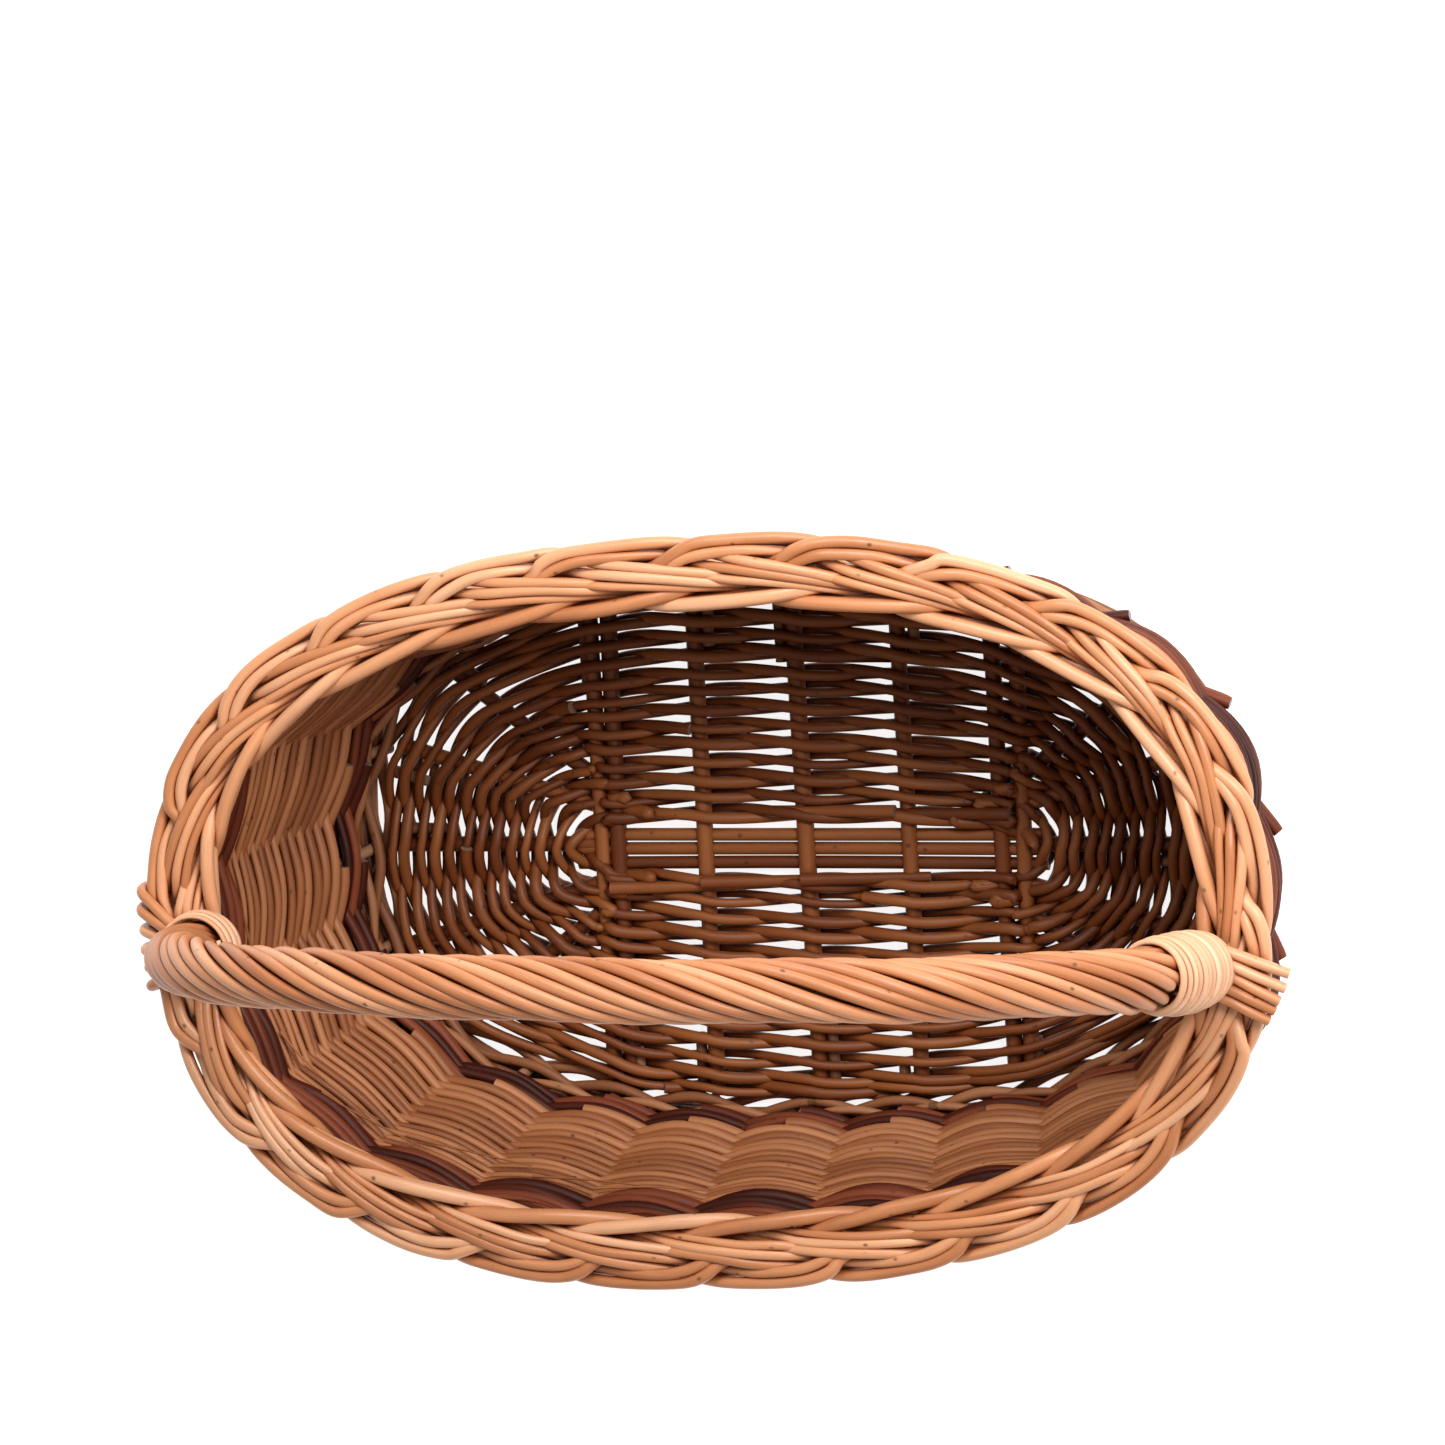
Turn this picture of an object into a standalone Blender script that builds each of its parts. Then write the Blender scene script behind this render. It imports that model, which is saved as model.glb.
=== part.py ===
"""Oval willow fruit basket with a fixed roped bow handle, built as separate closed pieces.

Units are metres, +Z is up and the basket stands on z = 0 with its length along X.
"""

import functools
import math

import bmesh
import bpy
from mathutils import Matrix, Vector

COLLECTION = "woven_fruit_basket"

# Plan of the rim: outer edge of the plaited border
RIM_HALF_LENGTH = 0.235
RIM_HALF_WIDTH = 0.1525
RIM_SQUARENESS = 2.38
# Plan of the base: edge of the woven floor, hand made and so a little off the rim's centre and turned
BASE_HALF_LENGTH = 0.1790
BASE_HALF_WIDTH = 0.1053
BASE_SQUARENESS = 2.70
BASE_SHIFT = (0.0034, 0.0048)
BASE_TURN = -0.0498

# Wall: heights of the joints between the bands of weave
GAP = 0.0003
UPSETT_TOP = 0.0235
LOWER_DARK_TOP = 0.0340
LIGHT_MIDDLE = 0.0640
LIGHT_TOP = 0.0940
UPPER_DARK_TOP = 0.1157
TOP_ROWS_TOP = 0.1255
BORDER_TOP = 0.1420
WALL_LINE_FROM_BASE = 0.0064
# The ends of the wall flare out fast and then stand upright, the long sides flare more evenly
WALL_TOP_HALF_LENGTH = 0.2240
WALL_TOP_HALF_WIDTH = 0.1360
WALL_TOP_SQUARENESS = 2.55
ENDS_UPRIGHT_FROM = 0.1000
SIDES_UPRIGHT_FROM = 0.1150
WALL_HALF_AT_STAKE = 0.0060
WALL_HALF_AT_CREASE = 0.0044
UPSETT_HALF_AT_STAKE = 0.0063
UPSETT_HALF_AT_CREASE = 0.0052

# Stakes
STAKES = 24
COLUMNS = 2 * STAKES
STAKE_RADIUS = 0.0025
STAKE_FOOT = 0.0014
STAKE_TIP = 0.1250
CHANNEL_GAP = 0.0004

# Base
BASE_PLATE = 0.0080
STICK_RADIUS = 0.0036
STICK_AXIS = 0.0064
LONG_STICK_RADIUS = 0.0026
LONG_STICK_AXIS = 0.0129
CROSS_STICK_AT = (-0.0851, -0.0766, -0.0388, 0.0064, 0.0510, 0.0919, 0.1004)
LONG_STICK_AT = (-0.0079, -0.0020, 0.0039)
LONG_STICK_ENDS = (-0.0970, 0.1120)
RIB_FANS = ((0.0335, 38.0), (0.0190, 17.0), (0.0, 0.0), (-0.0190, -17.0), (-0.0335, -38.0))
RIB_STARTS = (-0.0938, 0.1091)
STICK_END_CLEARANCE = 0.0020

# Border
BORDER_OUTER_WIDTH = 0.0110
BORDER_WIDTH = 0.0330
BORDER_UNDERSIDE = 0.1258
OUTER_RODS_BOTTOM = 0.1290
OUTER_RODS_TOP = 0.1405

# Handle: bow between the two feet, which sit a little askew, with its top leaning back
FOOT_LEFT = 0.2085
FOOT_RIGHT = 0.2060
FOOT_LEFT_Y = -0.0030
FOOT_RIGHT_Y = -0.0280
APEX_Y = 0.0060
FOOT_Z = 0.1440
APEX_Z = 0.3000
BOW_SQUARENESS = 2.1
CORE_RADIUS = 0.0070
ROPE_INNER = 0.0078
ROPE_OUTER = 0.0119
ROPE_GROOVE = 0.0110
ROPES = 3
RODS_PER_ROPE = 4
ROPE_PITCH = 0.165
ROPE_START = 0.0050
ROPE_RINGS = 44
BOW_TIP_HEIGHTS = (0.1157, 0.0940, 0.0640)
BOW_TIP_LEFT_COLUMN = 24.40
BOW_TIP_RIGHT_COLUMN = 46.85
BOW_ENTRY_Z = 0.1300
BOW_ENTRY_LEFT = (-0.2135, -0.0080)
BOW_ENTRY_RIGHT = (0.2110, -0.0290)
LASHING_INNER = 0.0124
LASHING_OUTER = 0.0148
LASHING_GROOVE = 0.0141
LASHING_LEFT_END = 0.0280
LASHING_RIGHT_END = 0.0340

# Rods that tie the handle's feet to the border
TIE_RADIUS = 0.0021
TIE_PITCH = 0.0042
TIE_LEFT_COLUMN = 23.92
TIE_RIGHT_COLUMN = 46.78
TIE_RIGHT_DRIFT = -0.41

MATERIALS = {
    "willow_light": ((0.66, 0.40, 0.21), 0.55),
    "willow_wall": ((0.50, 0.27, 0.13), 0.60),
    "willow_dark": ((0.16, 0.052, 0.035), 0.60),
    "willow_base": ((0.22, 0.105, 0.050), 0.65),
    "willow_stake": ((0.42, 0.23, 0.12), 0.65),
    "willow_skein": ((0.70, 0.44, 0.24), 0.50),
}


def clear_scene():
    for obj in list(bpy.data.objects):
        bpy.data.objects.remove(obj, do_unlink=True)


def make_collection(name, hidden=False):
    collection = bpy.data.collections.new(name)
    bpy.context.scene.collection.children.link(collection)
    collection.hide_render = hidden
    return collection


def make_materials():
    made = {}
    for name, (colour, roughness) in MATERIALS.items():
        material = bpy.data.materials.new(name)
        material.use_nodes = True
        shader = material.node_tree.nodes["Principled BSDF"]
        shader.inputs["Base Color"].default_value = (*colour, 1.0)
        shader.inputs["Roughness"].default_value = roughness
        shader.inputs["Metallic"].default_value = 0.0
        made[name] = material
    return made


def finish(obj, material, smooth=True):
    obj.data.materials.clear()
    obj.data.materials.append(material)
    for polygon in obj.data.polygons:
        polygon.use_smooth = smooth


# Plan curves ------------------------------------------------------------------


def mix(start, end, t):
    return start + (end - start) * t


def superellipse(half_length, half_width, squareness, angle):
    c = math.cos(angle)
    s = math.sin(angle)
    x = half_length * math.copysign(abs(c) ** (2.0 / squareness), c)
    y = half_width * math.copysign(abs(s) ** (2.0 / squareness), s)
    return Vector((x, y))


def even_points(half_length, half_width, squareness, count):
    """Points at equal distances round a superellipse, the first on +X."""
    fine = 4800
    raw = [superellipse(half_length, half_width, squareness, 2 * math.pi * i / fine) for i in range(fine + 1)]
    lengths = [0.0]
    for a, b in zip(raw, raw[1:]):
        lengths.append(lengths[-1] + (b - a).length)
    points = []
    k = 0
    for i in range(count):
        target = lengths[-1] * i / count
        while lengths[k + 1] < target:
            k += 1
        t = (target - lengths[k]) / max(lengths[k + 1] - lengths[k], 1e-12)
        points.append(raw[k].lerp(raw[k + 1], t))
    return points


@functools.lru_cache(maxsize=64)
def plan_at(z, count=COLUMNS):
    """Wall centre line and outward normals at a height: (point, normal) pairs."""
    t = min(max(z / ENDS_UPRIGHT_FROM, 0.0), 1.0)
    t_side = min(max(z / SIDES_UPRIGHT_FROM, 0.0), 1.0)
    half_length = mix(BASE_HALF_LENGTH + WALL_LINE_FROM_BASE, WALL_TOP_HALF_LENGTH, t)
    half_width = mix(BASE_HALF_WIDTH + WALL_LINE_FROM_BASE, WALL_TOP_HALF_WIDTH, t_side)
    squareness = mix(BASE_SQUARENESS, WALL_TOP_SQUARENESS, t)
    turn = Matrix.Rotation(BASE_TURN * (1.0 - t), 2)
    shift = Vector(BASE_SHIFT) * (1.0 - t)
    points = [turn @ p + shift for p in even_points(half_length, half_width, squareness, count)]
    return with_normals(points)


def with_normals(points):
    pairs = []
    for i, point in enumerate(points):
        along = (points[(i + 1) % len(points)] - points[i - 1]).normalized()
        pairs.append((point, Vector((along.y, -along.x))))
    return pairs


@functools.lru_cache(maxsize=1)
def rim_plan():
    """Outer edge of the border and its outward normals."""
    return with_normals(even_points(RIM_HALF_LENGTH, RIM_HALF_WIDTH, RIM_SQUARENESS, COLUMNS))


def rim_at(offset, column):
    """Point at a distance inside the border's outer edge, at a fractional column."""
    pairs = rim_plan()
    i = int(math.floor(column)) % COLUMNS
    t = column - math.floor(column)
    point = pairs[i][0].lerp(pairs[(i + 1) % COLUMNS][0], t)
    normal = pairs[i][1].lerp(pairs[(i + 1) % COLUMNS][1], t).normalized()
    return point - normal * offset


# Mesh and curve makers ----------------------------------------------------------


def mesh_object(name, bm, collection):
    bmesh.ops.recalc_face_normals(bm, faces=bm.faces)
    mesh = bpy.data.meshes.new(name)
    bm.to_mesh(mesh)
    bm.free()
    obj = bpy.data.objects.new(name, mesh)
    collection.objects.link(obj)
    return obj


def loft(name, rings, collection, closed_along=False, closed_round=True):
    """Skin over rings of points. Open lofts get flat end caps."""
    bm = bmesh.new()
    grid = [[bm.verts.new(point) for point in ring] for ring in rings]
    count = len(rings)
    size = len(rings[0])
    for i in range(count if closed_along else count - 1):
        here = grid[i]
        there = grid[(i + 1) % count]
        for j in range(size if closed_round else size - 1):
            k = (j + 1) % size
            bm.faces.new((here[j], here[k], there[k], there[j]))
    if not closed_along:
        bm.faces.new(grid[0])
        bm.faces.new(grid[-1])
    return mesh_object(name, bm, collection)


def rod_curve(name, points, radius, collection, radii=None, sides=1):
    curve = bpy.data.curves.new(name, "CURVE")
    curve.dimensions = "3D"
    curve.bevel_depth = radius
    curve.bevel_resolution = sides
    curve.use_fill_caps = True
    spline = curve.splines.new("POLY")
    spline.points.add(len(points) - 1)
    for i, point in enumerate(points):
        spline.points[i].co = (*point, 1.0)
        spline.points[i].radius = radii[i] if radii else 1.0
    obj = bpy.data.objects.new(name, curve)
    collection.objects.link(obj)
    return obj


def rod_mesh(name, points, radius, collection, radii=None, sides=1):
    """A rod as a closed mesh, made from a bevelled curve with its caps welded."""
    source = rod_curve(name + "_curve", points, radius, collection, radii, sides)
    graph = bpy.context.evaluated_depsgraph_get()
    mesh = bpy.data.meshes.new_from_object(source.evaluated_get(graph))
    obj = bpy.data.objects.new(name, mesh)
    obj.matrix_world = source.matrix_world.copy()
    collection.objects.link(obj)
    bpy.data.objects.remove(source, do_unlink=True)
    bm = bmesh.new()
    bm.from_mesh(mesh)
    bmesh.ops.remove_doubles(bm, verts=bm.verts, dist=0.00001)
    bmesh.ops.recalc_face_normals(bm, faces=bm.faces)
    bm.to_mesh(mesh)
    bm.free()
    return obj


def join_cutters(name, cutters, collection):
    bm = bmesh.new()
    for cutter in cutters:
        bm.from_mesh(cutter.data)
        bpy.data.objects.remove(cutter, do_unlink=True)
    joined = mesh_object(name, bm, collection)
    joined.display_type = "WIRE"
    joined.hide_render = True
    return joined


def cut(obj, cutter):
    modifier = obj.modifiers.new("channels", "BOOLEAN")
    modifier.operation = "DIFFERENCE"
    modifier.solver = "EXACT"
    modifier.object = cutter


# Sub-parts ----------------------------------------------------------------------


def base_turned(x, y, z):
    p = Matrix.Rotation(BASE_TURN, 2) @ Vector((x, y)) + Vector(BASE_SHIFT)
    return Vector((p.x, p.y, z))


def floor_reach(x, y, direction):
    """Distance from a point in the base plan to the floor's edge along a direction."""
    reach = 0.0
    half_length = BASE_HALF_LENGTH - STICK_END_CLEARANCE
    half_width = BASE_HALF_WIDTH - STICK_END_CLEARANCE
    while True:
        px = x + direction[0] * reach
        py = y + direction[1] * reach
        inside = (abs(px) / half_length) ** BASE_SQUARENESS + (abs(py) / half_width) ** BASE_SQUARENESS
        if inside >= 1.0:
            return reach
        reach += 0.0002


def stick_layout():
    """Name, start and end of every cross stick and end rib in the base plan."""
    sticks = []
    for i, x in enumerate(CROSS_STICK_AT):
        reach = floor_reach(x, 0.0, (0.0, 1.0))
        sticks.append((f"base_cross_stick_{i + 1}", (x, -reach), (x, reach)))
    for x, label in zip(RIB_STARTS, ("left", "right")):
        side = math.copysign(1.0, x)
        for i, (y, angle) in enumerate(RIB_FANS):
            direction = (side * math.cos(math.radians(angle)), math.sin(math.radians(angle)))
            reach = floor_reach(x, y, direction)
            end = (x + direction[0] * reach, y + direction[1] * reach)
            sticks.append((f"base_end_rib_{label}_{i + 1}", (x, y), end))
    return sticks


def build_base(parts, cutters, materials):
    layout = stick_layout()
    grooves = []
    for name, start, end in layout:
        a = base_turned(*start, STICK_AXIS)
        b = base_turned(*end, STICK_AXIS)
        stick = rod_mesh(name, (a, b), STICK_RADIUS, parts, sides=2)
        finish(stick, materials["willow_base"])
        along = (b - a).normalized() * 0.001
        inner = a - along
        outer = b + along * 6.0
        if name.startswith("base_cross"):
            inner = a - along * 6.0
        grooves.append(rod_mesh(name + "_groove", (inner, outer), STICK_RADIUS + CHANNEL_GAP, cutters, sides=2))
    groove_cutter = join_cutters("base_grooves", grooves, cutters)

    outline = even_points(BASE_HALF_LENGTH - 0.0007, BASE_HALF_WIDTH - 0.0007, BASE_SQUARENESS, COLUMNS)
    rings = [[base_turned(p.x, p.y, z) for p in outline] for z in (0.0, BASE_PLATE)]
    plate = loft("base_weave", rings, parts)
    cut(plate, groove_cutter)
    finish(plate, materials["willow_base"], smooth=False)

    for i, y in enumerate(LONG_STICK_AT):
        ends = [base_turned(x, y, LONG_STICK_AXIS) for x in LONG_STICK_ENDS]
        stick = rod_mesh(f"base_long_stick_{i + 1}", ends, LONG_STICK_RADIUS, parts, sides=2)
        finish(stick, materials["willow_base"])


def stake_path(index, foot, tip):
    levels = [foot, UPSETT_TOP, LOWER_DARK_TOP, LIGHT_MIDDLE, LIGHT_TOP, UPPER_DARK_TOP, tip]
    path = []
    for z in levels:
        point = plan_at(z)[2 * index][0]
        path.append(Vector((point.x, point.y, z)))
    return path


def wall_point(z, column):
    pairs = plan_at(z)
    i = int(math.floor(column)) % COLUMNS
    point = pairs[i][0].lerp(pairs[(i + 1) % COLUMNS][0], column - math.floor(column))
    return Vector((point.x, point.y, z))


def build_stakes(parts, cutters, materials):
    channels = []
    for i in range(STAKES):
        name = f"stake_{i + 1:02d}"
        stake = rod_mesh(name, stake_path(i, STAKE_FOOT, STAKE_TIP), STAKE_RADIUS, parts)
        finish(stake, materials["willow_stake"])
        path = stake_path(i, STAKE_FOOT, TOP_ROWS_TOP + 0.0002)
        path[0] = path[0] + (path[0] - path[1]).normalized() * 0.004
        channels.append(rod_mesh(name + "_channel", path, STAKE_RADIUS + CHANNEL_GAP, cutters))
    return channels


def band_ring(name, levels, half_at_stake, half_at_crease, parts):
    sections = [plan_at(z) for z in levels]
    rings = []
    for i in range(COLUMNS):
        half = half_at_stake if i % 2 == 0 else half_at_crease
        ring = []
        for z, section in zip(levels, sections):
            point = section[i][0] + section[i][1] * half
            ring.append(Vector((point.x, point.y, z)))
        for z, section in zip(reversed(levels), reversed(sections)):
            point = section[i][0] - section[i][1] * half
            ring.append(Vector((point.x, point.y, z)))
        rings.append(ring)
    return loft(name, rings, parts, closed_along=True)


def build_wall(parts, channels, materials):
    upsett = band_ring("wall_upsett", (0.0, UPSETT_TOP - GAP), UPSETT_HALF_AT_STAKE, UPSETT_HALF_AT_CREASE, parts)
    cut(upsett, channels)
    finish(upsett, materials["willow_base"], smooth=False)
    bands = (
        ("wall_lower_dark_band", (UPSETT_TOP, LOWER_DARK_TOP - GAP), "willow_dark"),
        ("wall_light_band", (LOWER_DARK_TOP, LIGHT_MIDDLE, LIGHT_TOP - GAP), "willow_wall"),
        ("wall_upper_dark_band", (LIGHT_TOP, UPPER_DARK_TOP - GAP), "willow_dark"),
        ("wall_top_light_rows", (UPPER_DARK_TOP, TOP_ROWS_TOP), "willow_light"),
    )
    for name, levels, slot in bands:
        band = band_ring(name, levels, WALL_HALF_AT_STAKE, WALL_HALF_AT_CREASE, parts)
        cut(band, channels)
        finish(band, materials[slot], smooth=False)


def border_section(near, far, bottom, top):
    """Rounded cross-section between two distances from the outer edge."""
    middle = (near + far) / 2.0
    height = (bottom + top) / 2.0
    half_width = (far - near) / 2.0
    half_height = (top - bottom) / 2.0
    section = []
    for i in range(8):
        angle = math.radians(22.5 + 45.0 * i)
        offset = middle - half_width * math.cos(angle) / math.cos(math.radians(22.5))
        z = height + half_height * math.sin(angle) / math.sin(math.radians(67.5))
        section.append((offset, z))
    return section


def border_ring(name, near, far, bottom, top, lobe, parts):
    rings = []
    for i in range(COLUMNS):
        lift = lobe if i % 2 else 0.0
        ring = []
        for offset, z in border_section(near, far, bottom, top - lift):
            point = rim_at(offset, float(i))
            ring.append(Vector((point.x, point.y, z)))
        rings.append(ring)
    return loft(name, rings, parts, closed_along=True)


def build_border(parts, channels, materials):
    outer = border_ring(
        "border_outer_rods", 0.0, BORDER_OUTER_WIDTH, OUTER_RODS_BOTTOM, OUTER_RODS_TOP, 0.0, parts
    )
    finish(outer, materials["willow_light"])
    plait = border_ring(
        "border_plait", BORDER_OUTER_WIDTH + GAP, BORDER_WIDTH, BORDER_UNDERSIDE, BORDER_TOP, 0.0015, parts
    )
    cut(plait, channels)
    finish(plait, materials["willow_light"])


def bow_point(angle):
    """Centre line of the bow: angle 0 at the right foot, pi at the left foot."""
    c = math.cos(angle)
    across = math.copysign(abs(c) ** (2.0 / BOW_SQUARENESS), c)
    rise = abs(math.sin(angle)) ** (2.0 / BOW_SQUARENESS)
    x = across * (FOOT_RIGHT if c > 0.0 else FOOT_LEFT)
    foot_y = mix(FOOT_LEFT_Y, FOOT_RIGHT_Y, (1.0 + across) / 2.0)
    y = foot_y + (APEX_Y - (FOOT_LEFT_Y + FOOT_RIGHT_Y) / 2.0) * rise
    return Vector((x, y, mix(FOOT_Z, APEX_Z, rise)))


def bow_samples(count, start=0.0, end=0.0):
    """Evenly spaced points from the left foot over the top to the right foot.

    start is the distance left off at the left foot. A positive end is a distance from the left
    foot and a negative or zero one is counted back from the right foot.
    """
    fine = 2400
    raw = [bow_point(math.pi * (1.0 - i / fine)) for i in range(fine + 1)]
    lengths = [0.0]
    for a, b in zip(raw, raw[1:]):
        lengths.append(lengths[-1] + (b - a).length)
    first = start if start >= 0.0 else lengths[-1] + start
    last = end if end > 0.0 else lengths[-1] + end
    samples = []
    k = 0
    for i in range(count):
        target = mix(first, last, i / (count - 1))
        while k < fine - 1 and lengths[k + 1] < target:
            k += 1
        t = (target - lengths[k]) / max(lengths[k + 1] - lengths[k], 1e-12)
        samples.append(raw[k].lerp(raw[k + 1], min(t, 1.0)))
    return samples, last - first


def bow_frames(samples):
    """Tangent, outward normal and side vector at every sample."""
    frames = []
    for i, point in enumerate(samples):
        ahead = samples[min(i + 1, len(samples) - 1)]
        behind = samples[max(i - 1, 0)]
        tangent = (ahead - behind).normalized()
        normal = Vector((0.0, -1.0, 0.0)).cross(tangent).normalized()
        side = tangent.cross(normal).normalized()
        frames.append((point, normal, side))
    return frames


def bow_core_path(samples):
    """Bow with both tapered ends pushed down inside the wall."""
    radii_below = (0.62, 0.46, 0.42, 0.30)
    start = [wall_point(z, BOW_TIP_LEFT_COLUMN) for z in reversed(BOW_TIP_HEIGHTS)]
    start.append(Vector((*BOW_ENTRY_LEFT, BOW_ENTRY_Z)))
    end = [Vector((*BOW_ENTRY_RIGHT, BOW_ENTRY_Z))]
    end += [wall_point(z, BOW_TIP_RIGHT_COLUMN) for z in BOW_TIP_HEIGHTS]
    path = start + samples + end
    radii = list(reversed(radii_below)) + [1.0] * len(samples) + list(radii_below)
    radii[len(start)] = 0.72
    radii[-len(end) - 1] = 0.72
    return path, radii


def build_bow(parts, cutters, materials):
    samples, _ = bow_samples(35)
    path, radii = bow_core_path(samples)
    core = rod_mesh("handle_bow_core", path, CORE_RADIUS, parts, radii, sides=2)
    finish(core, materials["willow_stake"])
    channels = []
    swell = (CORE_RADIUS + CHANNEL_GAP) / CORE_RADIUS
    for name, piece, sizes in (("left", path[:6], radii[:6]), ("right", path[-6:], radii[-6:])):
        tip = 0 if name == "left" else -1
        piece = [p.copy() for p in piece]
        piece[tip] = piece[tip] + Vector((0.0, 0.0, -0.0008))
        grown = [size + (swell - 1.0) for size in sizes]
        channels.append(rod_mesh(f"bow_channel_{name}", piece, CORE_RADIUS, cutters, grown, sides=2))
    return channels


def rope_section(rope):
    """Polar section of one rope: inner arc then its lobed outer arc."""
    span = 2.0 * math.pi / ROPES
    margin = 0.5 * GAP / ROPE_INNER * 1.3
    start = rope * span + margin
    width = span - 2.0 * margin
    section = []
    steps = 2 * RODS_PER_ROPE
    for i in range(steps + 1):
        radius = ROPE_OUTER if i % 2 else ROPE_GROOVE
        section.append((start + width * i / steps, radius))
    for i in range(4, -1, -1):
        section.append((start + width * i / 4.0, ROPE_INNER))
    return section


def build_ropes(parts, materials):
    samples, length = bow_samples(ROPE_RINGS + 1, ROPE_START, -ROPE_START)
    frames = bow_frames(samples)
    for rope in range(ROPES):
        section = rope_section(rope)
        rings = []
        for i, (point, normal, side) in enumerate(frames):
            turn = 2.0 * math.pi * length * i / ROPE_RINGS / ROPE_PITCH
            ring = []
            for angle, radius in section:
                a = angle + turn
                ring.append(point + normal * (radius * math.cos(a)) + side * (radius * math.sin(a)))
            rings.append(ring)
        obj = loft(f"handle_rope_{rope + 1}", rings, parts)
        finish(obj, materials["willow_light"])


def build_lashings(parts, materials):
    turns = {"left": (5, ROPE_START, LASHING_LEFT_END), "right": (7, -LASHING_RIGHT_END, -ROPE_START)}
    for name, (count, start, end) in turns.items():
        samples, _ = bow_samples(2 * count + 1, start, end)
        frames = bow_frames(samples)
        walls = [(frame, LASHING_OUTER if i % 2 else LASHING_GROOVE) for i, frame in enumerate(frames)]
        walls += [(frame, LASHING_INNER) for frame in (frames[-1], frames[count], frames[0])]
        rings = []
        for (point, normal, side), radius in walls:
            ring = []
            for j in range(16):
                a = 2.0 * math.pi * j / 16
                ring.append(point + normal * (radius * math.cos(a)) + side * (radius * math.sin(a)))
            rings.append(ring)
        sleeve = loft(f"handle_lashing_{name}", rings, parts, closed_along=True)
        finish(sleeve, materials["willow_skein"])


def tie_profile(bent_under):
    """Distances inside the border's outer edge and heights along a tying rod."""
    profile = [(0.0145, BORDER_TOP + 0.0027), (0.0012, BORDER_TOP + 0.0022)]
    if bent_under:
        profile.append((-0.0026, BORDER_TOP - 0.0040))
        profile.append((-0.0026, OUTER_RODS_BOTTOM + 0.0008))
        profile.append((0.0040, OUTER_RODS_BOTTOM - 0.0044))
    else:
        profile.append((-0.0064, BORDER_TOP - 0.0030))
    return profile


def build_tie(name, centre_column, drift, count, spread, bent_under, parts, material):
    """Side by side rods joined into one ribbon that goes over the border's outer edge.

    drift is how many columns the ribbon moves round the rim on its way outwards.
    """
    start = TIE_PITCH * (count - 1) / 2.0
    profile = tie_profile(bent_under)
    column_length = (rim_plan()[1][0] - rim_plan()[0][0]).length
    directions = []
    for i, (offset, z) in enumerate(profile):
        before = profile[max(i - 1, 0)]
        after = profile[min(i + 1, len(profile) - 1)]
        along = Vector((after[0] - before[0], after[1] - before[1])).normalized()
        directions.append(Vector((along.y, -along.x)))
    rings = []
    for i, (offset, z) in enumerate(profile):
        share = min(i, 2) / 2.0
        widen = 1.0 + spread * share
        column = centre_column + drift * share
        ring = []
        for sign in (1.0, -1.0):
            steps = range(2 * count + 1)
            for k in steps if sign > 0 else reversed(steps):
                crest = TIE_RADIUS if k % 2 else TIE_RADIUS * 0.55
                across = (-start - TIE_PITCH / 2.0 + TIE_PITCH * k / 2.0) * widen
                lift = directions[i] * (-sign * crest)
                point = rim_at(offset + lift.x, column + across / column_length)
                ring.append(Vector((point.x, point.y, z + lift.y)))
        rings.append(ring)
    obj = loft(name, rings, parts)
    finish(obj, material)


def build_ties(parts, materials):
    light = materials["willow_light"]
    build_tie("border_tie_loops_left", TIE_LEFT_COLUMN, 0.0, 4, 0.0, True, parts, light)
    build_tie("rope_rod_ends_right", TIE_RIGHT_COLUMN, TIE_RIGHT_DRIFT, 5, 0.2, False, parts, light)


def main():
    clear_scene()
    parts = make_collection(COLLECTION)
    cutters = make_collection("cutters", hidden=True)
    materials = make_materials()
    build_base(parts, cutters, materials)
    stake_channels = build_stakes(parts, cutters, materials)
    bow_channels = build_bow(parts, cutters, materials)
    channels = join_cutters("wall_channels", stake_channels + bow_channels, cutters)
    build_wall(parts, channels, materials)
    build_border(parts, channels, materials)
    build_ropes(parts, materials)
    build_lashings(parts, materials)
    build_ties(parts, materials)


main()
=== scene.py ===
"""Willow fruit basket: every rod of the weave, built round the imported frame."""

import math
import random

import bpy
import numpy as np
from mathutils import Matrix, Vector


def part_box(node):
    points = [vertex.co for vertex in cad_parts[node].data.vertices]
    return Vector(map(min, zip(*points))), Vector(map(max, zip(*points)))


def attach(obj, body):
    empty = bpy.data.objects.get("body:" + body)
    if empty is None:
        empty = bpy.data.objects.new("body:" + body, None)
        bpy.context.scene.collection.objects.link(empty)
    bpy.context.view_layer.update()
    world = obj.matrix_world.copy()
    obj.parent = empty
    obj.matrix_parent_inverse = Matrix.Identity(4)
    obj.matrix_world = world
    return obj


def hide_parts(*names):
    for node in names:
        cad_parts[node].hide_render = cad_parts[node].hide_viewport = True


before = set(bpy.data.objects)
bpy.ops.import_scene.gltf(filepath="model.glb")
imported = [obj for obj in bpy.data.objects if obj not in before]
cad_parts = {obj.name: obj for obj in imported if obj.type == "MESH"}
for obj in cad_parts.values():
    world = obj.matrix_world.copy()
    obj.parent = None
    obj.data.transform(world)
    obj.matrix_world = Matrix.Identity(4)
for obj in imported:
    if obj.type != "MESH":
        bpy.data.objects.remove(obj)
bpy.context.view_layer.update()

RNG = random.Random(24)
MM = 0.001

LOWEST, HIGHEST = 0, 1


def corner(node, which):
    """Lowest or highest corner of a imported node, to a hundredth of a millimetre."""
    return [round(float(v), 5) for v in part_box(node)[which]]


# Ovals as half length, half width and squareness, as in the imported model
RIM = (*corner("border_outer_rods", HIGHEST)[:2], 2.38)
BASE = (0.1790, 0.1053, 2.70)
WALL_TOP = (0.2240, 0.1360, 2.55)
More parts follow.
